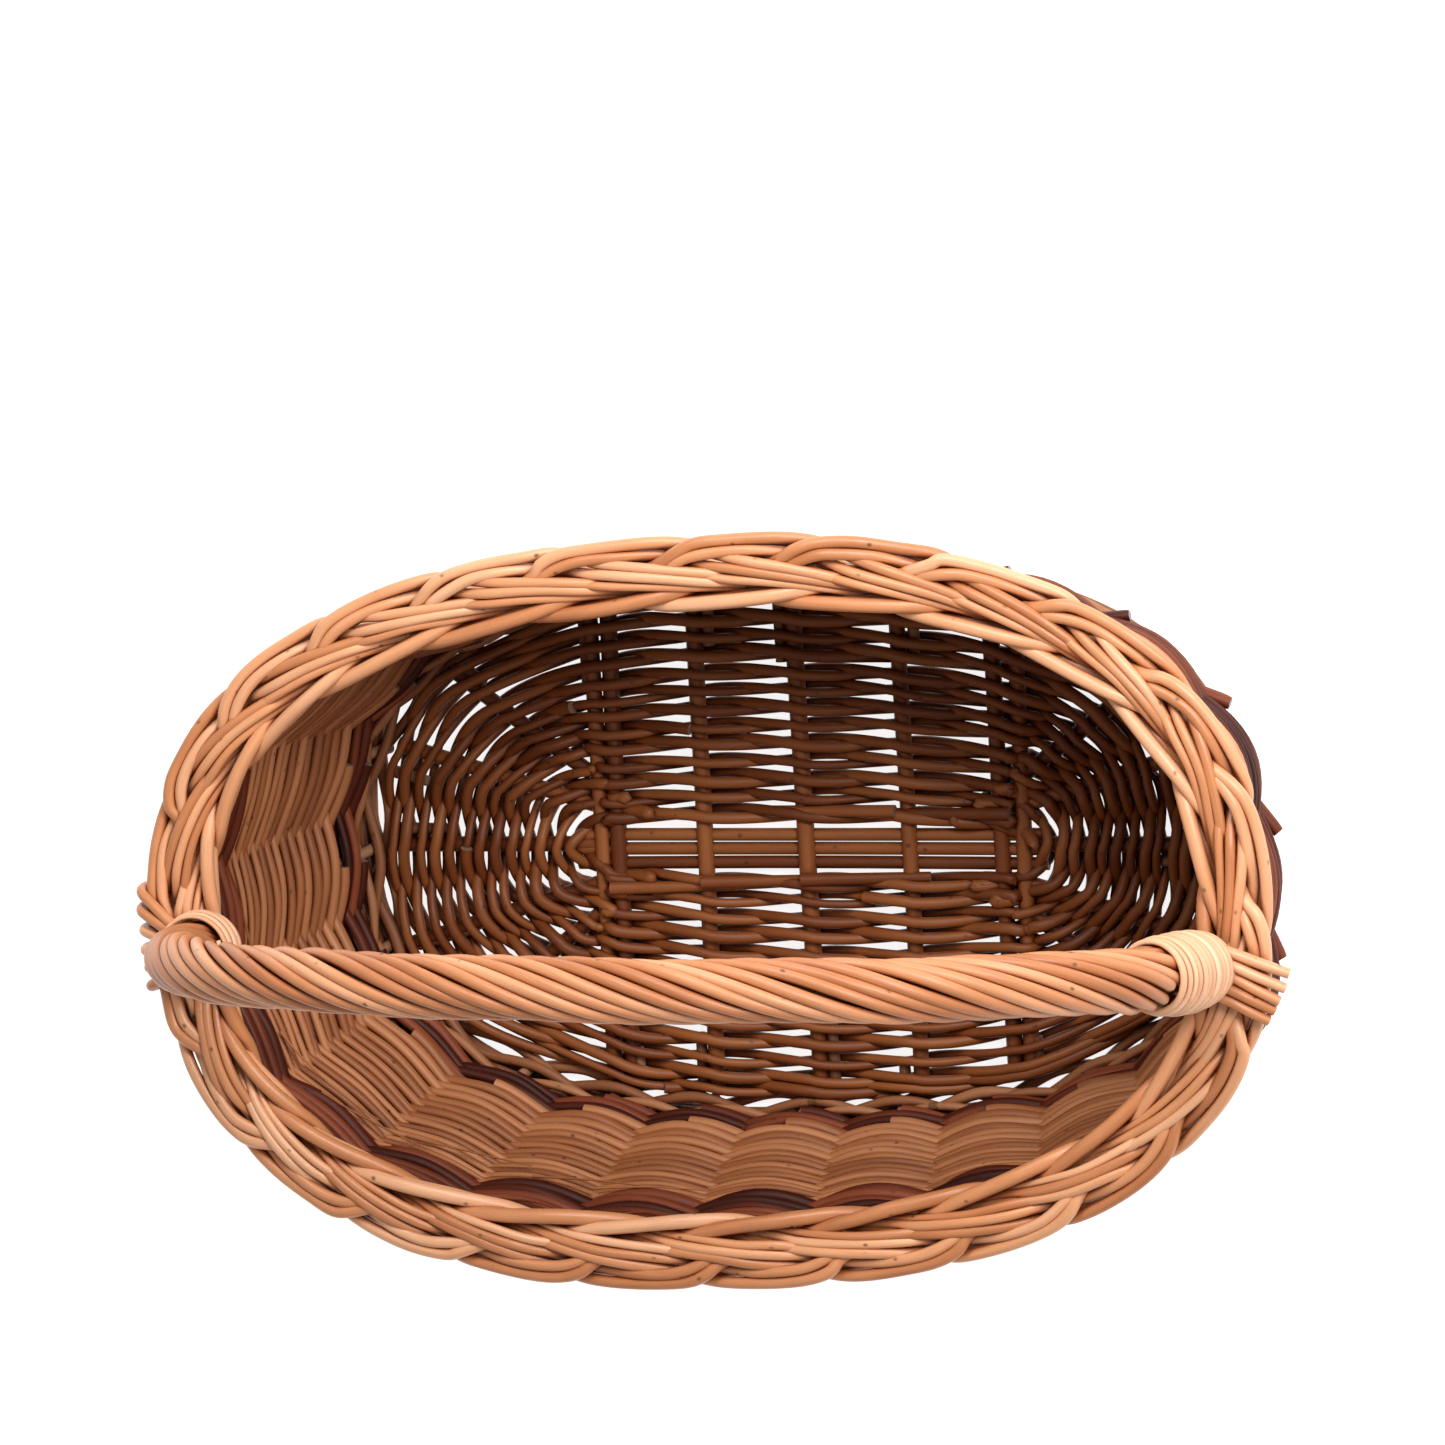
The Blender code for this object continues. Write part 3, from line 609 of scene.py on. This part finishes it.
def build_base_weave():
    """Paired weave: two strands spiral outwards, one over each stick and the other under it."""
    rods = Rods("base_weave", BASE_WILLOW_PAINTED_SHADE, "willow_base", ("base_weave",))
    tables = np.array([row_keys(t) for t in np.linspace(0, 1, 24)])
    crossings = tables.shape[1]

    def place(c, z, offset):
        """c counts crossings along the spiral."""
        turn = c / crossings
        t = np.clip(turn / BASE_ROWS, 0.0, 1.0)
        row = t * (len(tables) - 1)
        r0 = np.minimum(row.astype(int), len(tables) - 2)
        rt = (row - r0)[:, None]
        i = np.floor(c).astype(int)
        f = (c - i)[:, None]

        def key(k):
            k = k % crossings
            return tables[r0, k] * (1 - rt) + tables[r0 + 1, k] * rt

        p = catmull(key(i - 1), key(i), key(i + 1), key(i + 2), f)
        along = np.gradient(p, axis=0)
        along /= np.linalg.norm(along, axis=1, keepdims=True) + 1e-12
        normal = np.column_stack((along[:, 1], -along[:, 0]))
        return base_place(np.column_stack((p + normal * offset[:, None], z)))

    def room(c):
        """How far apart the crossings are: 1 where the rods can weave freely, 0 where sticks are bunched."""
        row = np.clip(c / crossings / BASE_ROWS, 0.0, 1.0) * (len(tables) - 1)
        r0 = row.astype(int)
        gaps = np.linalg.norm(np.roll(tables, -1, axis=1) - tables, axis=2)
        at = c % crossings
        middles = np.arange(crossings) + 0.5
        near = [np.interp(at[n], middles, gaps[r0[n]], period=crossings) for n in range(len(c))]
        return smooth((np.array(near) - 0.008) / 0.016)

    total = (BASE_ROWS + 0.95) * crossings
    for strand in range(2):
        start = 0.0
        while start < total - 2:
            end = min(start + RNG.uniform(1.5, 2.3) * crossings, total)
            begin = max(start - 0.7, 0.0)
            c = np.arange(begin, end + 0.35, 1.0 / STEPS_PER_CROSSING)
            phase = np.pi * (c + strand)
            r = np.interp(c, [begin, end + 0.4], [BASE_BUTT_RADIUS, BASE_TIP_RADIUS])
            r = r * (1 + 0.05 * np.sin(c * 1.7 + strand * 2))
            free = room(c)
            height = (STICK_RADIUS + 0.0018) * mix(1.0 - 2.0 * strand, np.cos(phase), free)
            swap = np.sin(phase)
            offset = 0.0014 * np.sign(swap) * np.abs(swap) ** 0.6 * free
            offset = offset + 0.0006 * np.sin(c * 0.83 + strand * 2.1 + start)
            # A new rod's butt lies on top of the weave and a little inwards
            lead = np.exp(-(c - begin) / 0.6) * (1.0 if start > 0 else 0.5)
            z = np.maximum(BASE_MIDDLE + height + lead * 0.0022, r + CLEAR)
            rods.add(place(c, z, offset - lead * 0.001), r, sides=9)
            start = end
    along = np.linspace(0.0, 1.0, 16)
    for x, y, way in LAID_IN:
        px = x + way * LAID_IN_LENGTH * along
        py = y + 0.0022 * along * np.sign(y)
        rods.add(np.column_stack((px, py, 0.0154 - 0.0050 * along)), 0.0028 - 0.0005 * along, sides=12)
    rods.build()


# A stake's foot lies this far beside its stick
FOOT_BESIDE = 0.0068


def build_stake_feet():
    """The stakes' feet, pushed in beside the sticks from the floor's edge."""
    rods = Rods("stake_feet", STAKE_WILLOW, "willow_stake")
    keys_in = row_keys(0.45)
    keys_out = row_keys(1.0)
    for k in range(len(keys_out)):
        along = keys_out[(k + 1) % len(keys_out)] - keys_out[k - 1]
        along /= np.linalg.norm(along)
        beside = along * FOOT_BESIDE * (1 if k % 2 else -1)
        depth = RNG.uniform(0.15, 0.75)
        inner = mix(keys_out[k], keys_in[k], depth) + beside
        outer = keys_out[k] + beside
        points = spline([(*inner, 0.0084), (*mix(inner, outer, 0.5), 0.0080), (*outer, 0.0078)], 14)
        rods.add(base_place(points), np.linspace(0.0024, 0.0029, 14), sides=10)
    rods.build()


# ------------------------------------------------------------------ wall


# Stakes from sample to sample: fine over a weaver's butt, coarse from there on
FINE_STEP = 0.02
COARSE_STEP = 1.0 / 11
FINE_TO = 0.44
COARSE_FROM = 0.46
# Rods are this much thicker than their rows are spaced, so that they press together
PRESSED = 1.04


def band(name, material, slot, z0, z1, rows, butt, tip, first=1.0, flare=0.0):
    """French randing: one weaver to a stake, inside one stake and outside the next, all the way up the band.

    A weaver starts first stakes on from its own, and flare bends its butt outwards.
    """
    rods = Rods(name, material, slot, (name,))
    total = 2.0 * rows
    even = np.arange(0.0, total + 2.5, FINE_STEP)
    even_r = mix(butt, tip, np.clip((even - 1.5) / total, 0.0, 1.0) ** 0.85)
    climb = np.concatenate(([0.0], np.cumsum(even_r * smooth((even - 0.9) / 0.9))[:-1] * FINE_STEP))
    climb *= (z1 - z0 - butt - tip) / np.interp(total, even, climb)
    for k in range(STAKES):
        begin = first + RNG.uniform(-0.06, 0.05)
        end = total + RNG.uniform(-0.3, 0.35)
        butt_part = np.arange(begin, begin + FINE_TO, FINE_STEP)
        s = np.concatenate((butt_part, np.arange(begin + COARSE_FROM, end, COARSE_STEP)))
        r = np.interp(s, even, even_r) * RNG.uniform(0.93, 1.07) * (1.0 + 0.04 * np.sin(s * 2.3 + k * 1.9))
        z = z0 + butt + np.interp(s, even, climb) + 0.00025 * np.sin(s * 1.3 + k * 2.7)
        out = (STAKE_RADIUS + r + 0.0001) * np.cos(np.pi * s)
        if flare:
            out = out + flare * np.exp(-(s - begin) / 0.20)
            r = r * (1.0 - 0.22 * np.exp(-(s - begin) / 0.035))
        u = k + s + 0.03 * np.sin(s * 3.1 + k)
        rods.add(wall(u, z, out), r * PRESSED, sides=8)
    return rods


def slivers(rods, count, z, out):
    """Thin splinters of rod that stand out of the near wall's weave, on its inside."""
    for _ in range(count):
        u = RNG.uniform(11.0, 22.0)
        span = RNG.uniform(0.4, 1.3)
        a = np.linspace(0.0, 1.0, 12)
        height = z + RNG.uniform(-0.004, 0.006) + a * RNG.uniform(-0.004, 0.006)
        reach = out - 0.0015 * np.sin(np.pi * a) - 0.002 * a * RNG.random()
        rods.add(wall(u + span * a, height, reach), np.linspace(0.0006, 0.0003, 12), sides=6)


def build_stakes():
    for i in range(STAKES):
        name = f"stake_{i + 1:02d}"
        z = np.linspace(0.0030, 0.1280, 26)
        u = i + 0.02 * np.sin(z * 60 + i)
        rods = Rods(name, STAKE_WILLOW, "willow_stake", (name,))
        rods.add(wall(u, z, 0.0), np.linspace(0.0026, 0.0024, 26), sides=10, up=(1, 0.3, 0))
        rods.build()


UPSETT_ROWS = 3
UPSETT_BOTTOM = 0.0046
UPSETT_RISE = 0.0072
UPSETT_CLEAR = 0.0006
# Where a round's rods are pieced together, in samples along it
UPSETT_PIECES = ((0, 96), (93, 200), (196, None))


def build_upsett():
    """Three-rod wale round the foot of the wall: in front of two stakes, behind one."""
    rods = Rods("wall_upsett", UPSETT, "willow_base", ("wall_upsett",))
    for row in range(UPSETT_ROWS):
        for strand in range(3):
            s = np.arange(0.0, STAKES + 0.8, 1.0 / 12)
            phase = ((s + strand + row) % 3.0) - 1.5
            inside = smooth(1.0 - np.abs(phase) / 0.95)
            r = (0.0027 - 0.0003 * row) * (1 + 0.08 * np.sin(s * 0.4 + strand * 2 + row))
            out = (STAKE_RADIUS + r) * (1 - 2 * inside) * 1.02
            slant = np.sin(phase / 1.5 * np.pi)
            z = UPSETT_BOTTOM + row * UPSETT_RISE + slant * 0.0019 + inside * 0.0012
            z = np.maximum(z + 0.0005 * np.sin(s * 1.1 + row * 2 + strand), r + UPSETT_CLEAR)
            path = wall(s + strand * 0.12 + row * 1.4, z, out)
            for begin, end in UPSETT_PIECES:
                rods.add(path[begin:end], r[begin:end], sides=10)
    rods.build()


def build_wall():
    build_upsett()
    band(
        "wall_lower_dark_band", DARK, "willow_dark", UPSETT_TOP - 0.003, LOWER_DARK_TOP + 0.001,
        rows=3.0, butt=0.0026, tip=0.0022,
    ).build()
    light = band(
        "wall_light_band", WALL, "willow_wall", LOWER_DARK_TOP - 0.0025, LIGHT_TOP - 0.0015,
        rows=14.5, butt=0.0029, tip=0.00135, first=0.97,
    )
    slivers(light, 7, LIGHT_TOP - 0.003, -0.0078)
    light.build()
    dark = band(
        "wall_upper_dark_band", DARK, "willow_dark", LIGHT_TOP - 0.0035, UPPER_DARK_TOP + 0.001,
        rows=6.5, butt=0.0029, tip=0.0015, first=0.30, flare=0.0052,
    )
    slivers(dark, 5, UPPER_DARK_TOP - 0.006, -0.0070)
    dark.build()
    band(
        "wall_top_light_rows", LIGHT, "willow_light", UPPER_DARK_TOP - 0.001, TOP_ROWS_TOP,
        rows=3.0, butt=0.0021, tip=0.0018,
    ).build()


# ------------------------------------------------------------------ border


def border_point(x, depth, z):
    """Point of the border: x counts repeats clockwise, depth is the distance in from the outer edge."""
    return rim(-np.asarray(x, float), depth, np.asarray(z, float))


# One repeat of the plait: A and B are the pair that runs along the outer edge, C joins them over the middle
# and D lies under them. Each point is repeats along, depth in from the edge in mm and height in mm.
STRAND_A = (
    (-2.40, 20.0, 125.0), (-2.15, 25.2, 130.0), (-1.90, 27.4, 134.6), (-1.50, 27.2, 138.2),
    (-1.10, 25.4, 138.8), (-0.80, 22.6, 136.0), (-0.55, 19.6, 132.0), (-0.30, 17.0, 130.6),
    (-0.10, 14.0, 133.6), (0.05, 10.6, 138.4), (0.19, 6.2, 140.2), (0.34, 3.4, 139.8),
    (0.60, 2.4, 138.6), (0.95, 2.3, 137.0), (1.20, 2.9, 134.4), (1.37, 5.2, 132.8),
    (1.54, 8.2, 137.0), (1.80, 10.9, 140.3), (2.15, 13.6, 140.6), (2.50, 16.4, 138.0),
    (2.78, 18.6, 133.4), (3.05, 20.6, 129.0), (3.30, 21.6, 127.0),
)
STRAND_B = (
    (-2.25, 18.5, 124.0), (-2.00, 23.4, 128.0), (-1.65, 26.4, 131.2), (-1.20, 24.4, 132.2),
    (-0.80, 21.4, 130.4), (-0.50, 19.0, 128.6), (-0.22, 17.0, 129.8), (-0.02, 15.0, 134.4),
    (0.14, 11.8, 139.0), (0.32, 8.4, 140.4), (0.52, 6.9, 139.8), (0.80, 6.9, 138.4),
    (1.04, 8.0, 134.6), (1.24, 10.0, 132.6), (1.42, 12.0, 136.6), (1.66, 13.9, 140.4),
    (2.00, 16.0, 141.0), (2.36, 18.4, 139.0), (2.66, 20.4, 134.4), (2.95, 21.8, 129.6),
    (3.25, 22.6, 126.6),
)
STRAND_C = (
    (0.62, 8.6, 130.0), (0.95, 11.0, 130.4), (1.16, 13.6, 132.4), (1.36, 15.8, 137.0),
    (1.62, 17.6, 140.0), (1.95, 19.2, 140.2), (2.28, 20.8, 137.8), (2.58, 22.2, 133.4),
    (2.86, 23.2, 129.2),
)
STRAND_D = (
    (-0.55, 16.0, 127.6), (-0.10, 11.6, 128.6), (0.35, 7.4, 129.8), (0.80, 5.4, 131.0),
    (1.25, 6.0, 131.2), (1.65, 9.0, 130.4), (2.10, 13.0, 130.0), (2.50, 17.0, 128.4),
)

# Points, radius at the butt and at the tip, and samples along
BORDER_RODS = (
    (STRAND_A, 0.0032, 0.0020, 110),
    (STRAND_B, 0.0029, 0.0019, 110),
    (STRAND_C, 0.0021, 0.0017, 44),
    (STRAND_D, 0.0027, 0.0023, 44),
)
# How far a point may stray, in the strands' units
BORDER_JITTER = (0.03, 0.4, 0.25)


def build_border():
    """A strand of four rods from each stake. The first strand stands for the two packed rings."""
    made = []
    for k in range(STAKES):
        rods = Rods(f"border_strand_{k + 1:02d}", LIGHT, "willow_light")
        wobble = RNG.uniform(-0.04, 0.04)
        for keys, wide, narrow, count in BORDER_RODS:
            jitter = [[RNG.uniform(-spread, spread) for spread in BORDER_JITTER] for _ in keys]
            path = spline(np.array(keys) + np.array(jitter), count)
            x = path[:, 0] + k + wobble
            r = np.linspace(wide, narrow, count) * RNG.uniform(0.95, 1.06)
            points = border_point(x, path[:, 1] * MM, path[:, 2] * MM)
            rods.add(points, r, sides=12)
        made.append(rods)
    made[0].replaces = ("border_plait", "border_outer_rods")
    for rods in made:
        rods.build()


# ------------------------------------------------------------------ handle


BOW_SAMPLES = 2401


def bow_points():
    """Centre line of the bow from its left foot to its right one."""
    a = np.pi * (1.0 - np.linspace(0, 1, BOW_SAMPLES))
    c, s = np.cos(a), np.abs(np.sin(a))
    across = np.sign(c) * np.abs(c) ** (2.0 / BOW_SQUARENESS)
    rise = s ** (2.0 / BOW_SQUARENESS)
    x = across * np.where(c > 0, FOOT_RIGHT, FOOT_LEFT)
    feet_y = mix(FOOT_LEFT_Y, FOOT_RIGHT_Y, (1 + across) / 2)
    y = feet_y + (APEX_Y - (FOOT_LEFT_Y + FOOT_RIGHT_Y) / 2) * rise
    return np.column_stack((x, y, mix(FOOT_Z, APEX_Z, rise)))


BOW = bow_points()
BOW_AT = arc_length(BOW)
BOW_LENGTH = BOW_AT[-1]
TANGENT_REACH = 0.004


def bow_centre(at):
    """Point of the bow's centre line, held at its feet."""
    at = np.clip(at, 0.0, BOW_LENGTH)
    return np.column_stack([np.interp(at, BOW_AT, BOW[:, i]) for i in range(3)])


def bow_frame(at):
    """Centre, outward normal and side of the bow at distances from the left foot."""
    at = np.asarray(at, float)
    inside = np.clip(at, 0.0, BOW_LENGTH)
    tangent = bow_centre(inside + TANGENT_REACH) - bow_centre(inside - TANGENT_REACH)
    tangent /= np.linalg.norm(tangent, axis=1, keepdims=True)
    centre = bow_centre(inside) + tangent * (at - inside)[:, None]
    normal = np.cross(np.array([0.0, -1.0, 0.0]), tangent)
    normal /= np.linalg.norm(normal, axis=1, keepdims=True)
    side = np.cross(tangent, normal)
    return centre, normal, side


ROPE_RODS = 12
ROPES = 3
ROPE_PITCH = 0.165
ROPE_RADIUS = 0.0096
ROPE_ROD_BUTT = 0.00262
ROPE_ROD_TIP = 0.00228
CORE_RADIUS = 0.0071
# Rope rods cut short above the right foot, and where their ends are
BLUNT_RODS = (10, 11, 0, 1)
BLUNT_END = 0.0500
ROPE_END = 0.002
# Where each tail of the bow goes into the wall, and its place round it in stakes
TAILS = (((-0.2135, -0.0080, 0.130), 12.20), ((0.2110, -0.0290, 0.130), -0.575))
TAIL_LEVELS = (UPPER_DARK_TOP, LIGHT_TOP, 0.0640)


def around_bow(at, angle, radius):
    """Points on a winding round the bow, and the way out from its centre at each."""
    centre, normal, side = bow_frame(at)
    radius = np.broadcast_to(np.asarray(radius, float), at.shape)[:, None]
    points = centre + (normal * np.cos(angle)[:, None] + side * np.sin(angle)[:, None]) * radius
    return points, points - centre


def build_handle_core():
    """The bow, with its tapered tails pushed down inside the wall."""
    rods = Rods("handle_bow_core", STAKE_WILLOW, "willow_stake", ("handle_bow_core",))
    rods.add(bow_frame(np.linspace(0.0, BOW_LENGTH, 120))[0], CORE_RADIUS, sides=16, up=(0, -1, 0))
    radii = np.interp(np.linspace(0, 1, 40), [0, 0.2, 0.4, 1.0], [0.0066, 0.0060, 0.0042, 0.0022])
    for foot, (entry, u) in zip((BOW[0], BOW[-1]), TAILS):
        keys = [foot + (0, 0, 0.004), foot, entry, *wall([u, u, u], TAIL_LEVELS, 0.0)]
        rods.add(spline(keys, 40), radii, sides=12, up=(0, -1, 0))
    rods.build()


def build_ropes():
    """Rods twisted round the bow, four to a packed rope."""
    per_rope = ROPE_RODS // ROPES
    for rope in range(ROPES):
        name = f"handle_rope_{rope + 1}"
        rods = Rods(name, HANDLE, "willow_light", (name,))
        for i in range(rope * per_rope, (rope + 1) * per_rope):
            blunt = i in BLUNT_RODS
            end = BOW_LENGTH - (BLUNT_END + 0.003 * RNG.random() if blunt else ROPE_END)
            at = np.arange(ROPE_END, end, 0.003)
            loose = RNG.uniform(-0.05, 0.05)
            angle = 2 * np.pi * (i / ROPE_RODS) + 2 * np.pi * at / ROPE_PITCH + loose
            angle = angle + 0.05 * np.sin(at * 34 + i * 2.4)
            ends = (ROPE_ROD_BUTT, ROPE_ROD_TIP) if i % 2 else (ROPE_ROD_TIP, ROPE_ROD_BUTT)
            r = np.linspace(*ends, len(at)) * RNG.uniform(0.97, 1.05)
            lift = 0.0004 * np.sin(at * 47 + i * 1.7)
            bulge = 0.0012 * smooth((at - (end - 0.03)) / 0.02) if blunt else 0.0
            points, out = around_bow(at, angle, ROPE_RADIUS + lift + bulge)
            tone = 0.75 * RNG.random()
            rods.add(points, r, tone=tone, sides=12, up=out, round_tip=0.9 if blunt else 0.0)
        rods.build()


# Windings of the left foot: first angle, turns, place along the bow and radius at both ends
LEFT_WINDINGS = (
    (0.0, 4.4, (0.0010, 0.0150), (0.0152, 0.0132)),
    (2.2, 3.2, (0.0060, 0.0190), (0.0162, 0.0136)),
)
RIGHT_TURNS = 13.5
RIGHT_PLACE = (0.0045, 0.0485)
SAMPLES_PER_TURN = 46


def build_left_lashing():
    rods = Rods("handle_lashing_left", SKEIN, "willow_skein", ("handle_lashing_left",))
    for begin, turns, place, radii in LEFT_WINDINGS:
        a = np.linspace(0, 1, int(SAMPLES_PER_TURN * turns))
        turned_by = 2 * np.pi * turns * a
        at = mix(*place, a) + 0.0012 * np.sin(turned_by + 0.7)
        points, out = around_bow(at, turned_by + begin, mix(*radii, a) + 0.0003 * np.sin(9 * a + begin))
        tone = 0.5 + 0.35 * np.sin(turns * a * 4.1 + begin)
        rods.add(points, 0.0021 * (1 + 0.1 * np.sin(a * 23)), tone=tone, sides=10, up=out, flat=0.5)
    rods.build()


def build_right_lashing():
    rods = Rods("handle_lashing_right", SKEIN, "willow_skein", ("handle_lashing_right",))
    a = np.linspace(0, 1, 13 * SAMPLES_PER_TURN)
    turned_by = 2 * np.pi * RIGHT_TURNS * a
    at = BOW_LENGTH - mix(*RIGHT_PLACE, a) + 0.0004 * np.sin(a * 80)
    radius = 0.0134 + 0.0013 * np.sin(np.pi * a) + 0.00025 * np.sin(turned_by * 0.37)
    points, out = around_bow(at, 0.6 - turned_by, radius)
    tone = 0.5 + 0.25 * np.sin(np.floor(RIGHT_TURNS * a) * 2.4)
    rods.add(points, 0.00150 * (1 + 0.1 * np.sin(a * 60)), tone=tone, sides=10, up=out, flat=0.8)
    rods.build()


# Cut rod ends beyond the right foot: where each leaves the lashing and where it ends
END_STARTS = ((0.2190, -0.0215), (0.2185, -0.0260), (0.2178, -0.0305), (0.2165, -0.0350), (0.2150, -0.0392))
END_TIPS = ((0.2401, -0.0316), (0.2379, -0.0374), (0.2353, -0.0422), (0.2330, -0.0460), (0.2307, -0.0498))


def build_rod_ends():
    rods = Rods("rope_rod_ends_right", LIGHT, "willow_light", ("rope_rod_ends_right",))
    for i, (start, end) in enumerate(zip(END_STARTS, END_TIPS)):
        start, end = np.array(start), np.array(end)
        behind = start - (end - start) * 0.45 + (-0.004, 0.002)
        lift = 0.0007 * (i % 2)
        keys = [
            (*behind, 0.1560),
            (*start, 0.1486 + lift),
            (*mix(start, end, 0.55), 0.1462),
            (*end, 0.1438 - lift),
        ]
        rods.add(spline(keys, 26), np.linspace(0.0024, 0.0021, 26) * RNG.uniform(0.95, 1.05), sides=12)
    rods.build()


# Loops over the border at the left foot: where they all start and where each ends, in stakes, and the way
# that they follow as depth in mm, height in mm and the share of the way from start to end
LOOPS_FROM = 12.06
LOOPS_TO = (11.60, 11.74, 11.90, 12.05, 12.19, 12.33)
LOOP_WAY = (
    (23.0, 150.5, 0.25),
    (13.0, 147.4, 0.55),
    (4.0, 144.4, 0.85),
    (-1.6, 140.9, 1.0),
    (-2.6, 135.0, 1.05),
    (0.5, 128.0, 1.05),
    (6.0, 123.0, 1.0),
)


def build_loops():
    rods = Rods("border_tie_loops_left", LIGHT, "willow_light", ("border_tie_loops_left",))
    depth, z, drift = np.array(LOOP_WAY).T
    for i, u_end in enumerate(LOOPS_TO):
        keys = rim(LOOPS_FROM + (u_end - LOOPS_FROM) * drift, depth * MM, z * MM + 0.0006 * (i % 2))
        rods.add(spline(keys, 40), 0.0023 + 0.0002 * (i % 2), sides=12, up=(0, 1, 0))
    rods.build()


# ------------------------------------------------------------------ stage, light, camera


def build_stage():
    """A pale floor that glows a little, so that it comes out white under soft light."""
    mesh = bpy.data.meshes.new("floor")
    half = 6.0
    corners = [(-half, -half, 0), (half, -half, 0), (half, half, 0), (-half, half, 0)]
    mesh.from_pydata(corners, [], [(0, 1, 2, 3)])
    floor = bpy.data.objects.new("floor", mesh)
    bpy.context.scene.collection.objects.link(floor)
    material = bpy.data.materials.new("pale_floor")
    material.use_nodes = True
    shader = material.node_tree.nodes["Principled BSDF"]
    shader.inputs["Base Color"].default_value = (0.55, 0.55, 0.55, 1.0)
    shader.inputs["Roughness"].default_value = 0.9
    shader.inputs["Emission Color"].default_value = (1.0, 1.0, 1.0, 1.0)
    shader.inputs["Emission Strength"].default_value = 0.86
    mesh.materials.append(material)


def area_light(name, position, target, size, power, colour):
    """A round lamp of a size in metres and a power in watts that faces its target."""
    light = bpy.data.lights.new(name, "AREA")
    light.shape = "DISK"
    light.size = size
    light.energy = power
    light.color = colour
    obj = bpy.data.objects.new(name, light)
    direction = Vector(target) - Vector(position)
    obj.location = position
    obj.rotation_euler = direction.to_track_quat("-Z", "Y").to_euler()
    bpy.context.scene.collection.objects.link(obj)


def build_light():
    world = bpy.data.worlds.new("studio")
    world.use_nodes = True
    background = world.node_tree.nodes["Background"]
    background.inputs["Color"].default_value = (1.0, 0.955, 0.915, 1.0)
    background.inputs["Strength"].default_value = 0.47
    bpy.context.scene.world = world
    area_light("key", (0.95, 0.62, 1.15), (0.02, 0.02, 0.1), 0.6, 16.5, (1.0, 0.985, 0.985))
    area_light("back", (0.12, 0.84, 0.84), (0.06, 0.14, 0.1), 0.5, 7.5, (1.0, 1.0, 1.0))


# The camera's place, turn and lens, fitted to the photograph's view
CAMERA_AT = (0.62960, 0.33988, 1.94250)
CAMERA_TURN = (-0.17120, 0.30870, -0.10950)
LENS = 121.54


def build_camera():
    camera = bpy.data.cameras.new("camera")
    camera.lens = LENS
    camera.sensor_width = 36.0
    camera.clip_start = 0.05
    camera.clip_end = 50.0
    obj = bpy.data.objects.new("camera", camera)
    obj.location = CAMERA_AT
    obj.rotation_mode = "XYZ"
    obj.rotation_euler = CAMERA_TURN
    bpy.context.scene.collection.objects.link(obj)
    bpy.context.scene.camera = obj
    bpy.context.scene.view_settings.view_transform = "Standard"


build_base_sticks()
build_base_weave()
build_stake_feet()
build_stakes()
build_wall()
build_border()
build_handle_core()
build_ropes()
build_left_lashing()
build_right_lashing()
build_rod_ends()
build_loops()
build_stage()
build_light()
build_camera()
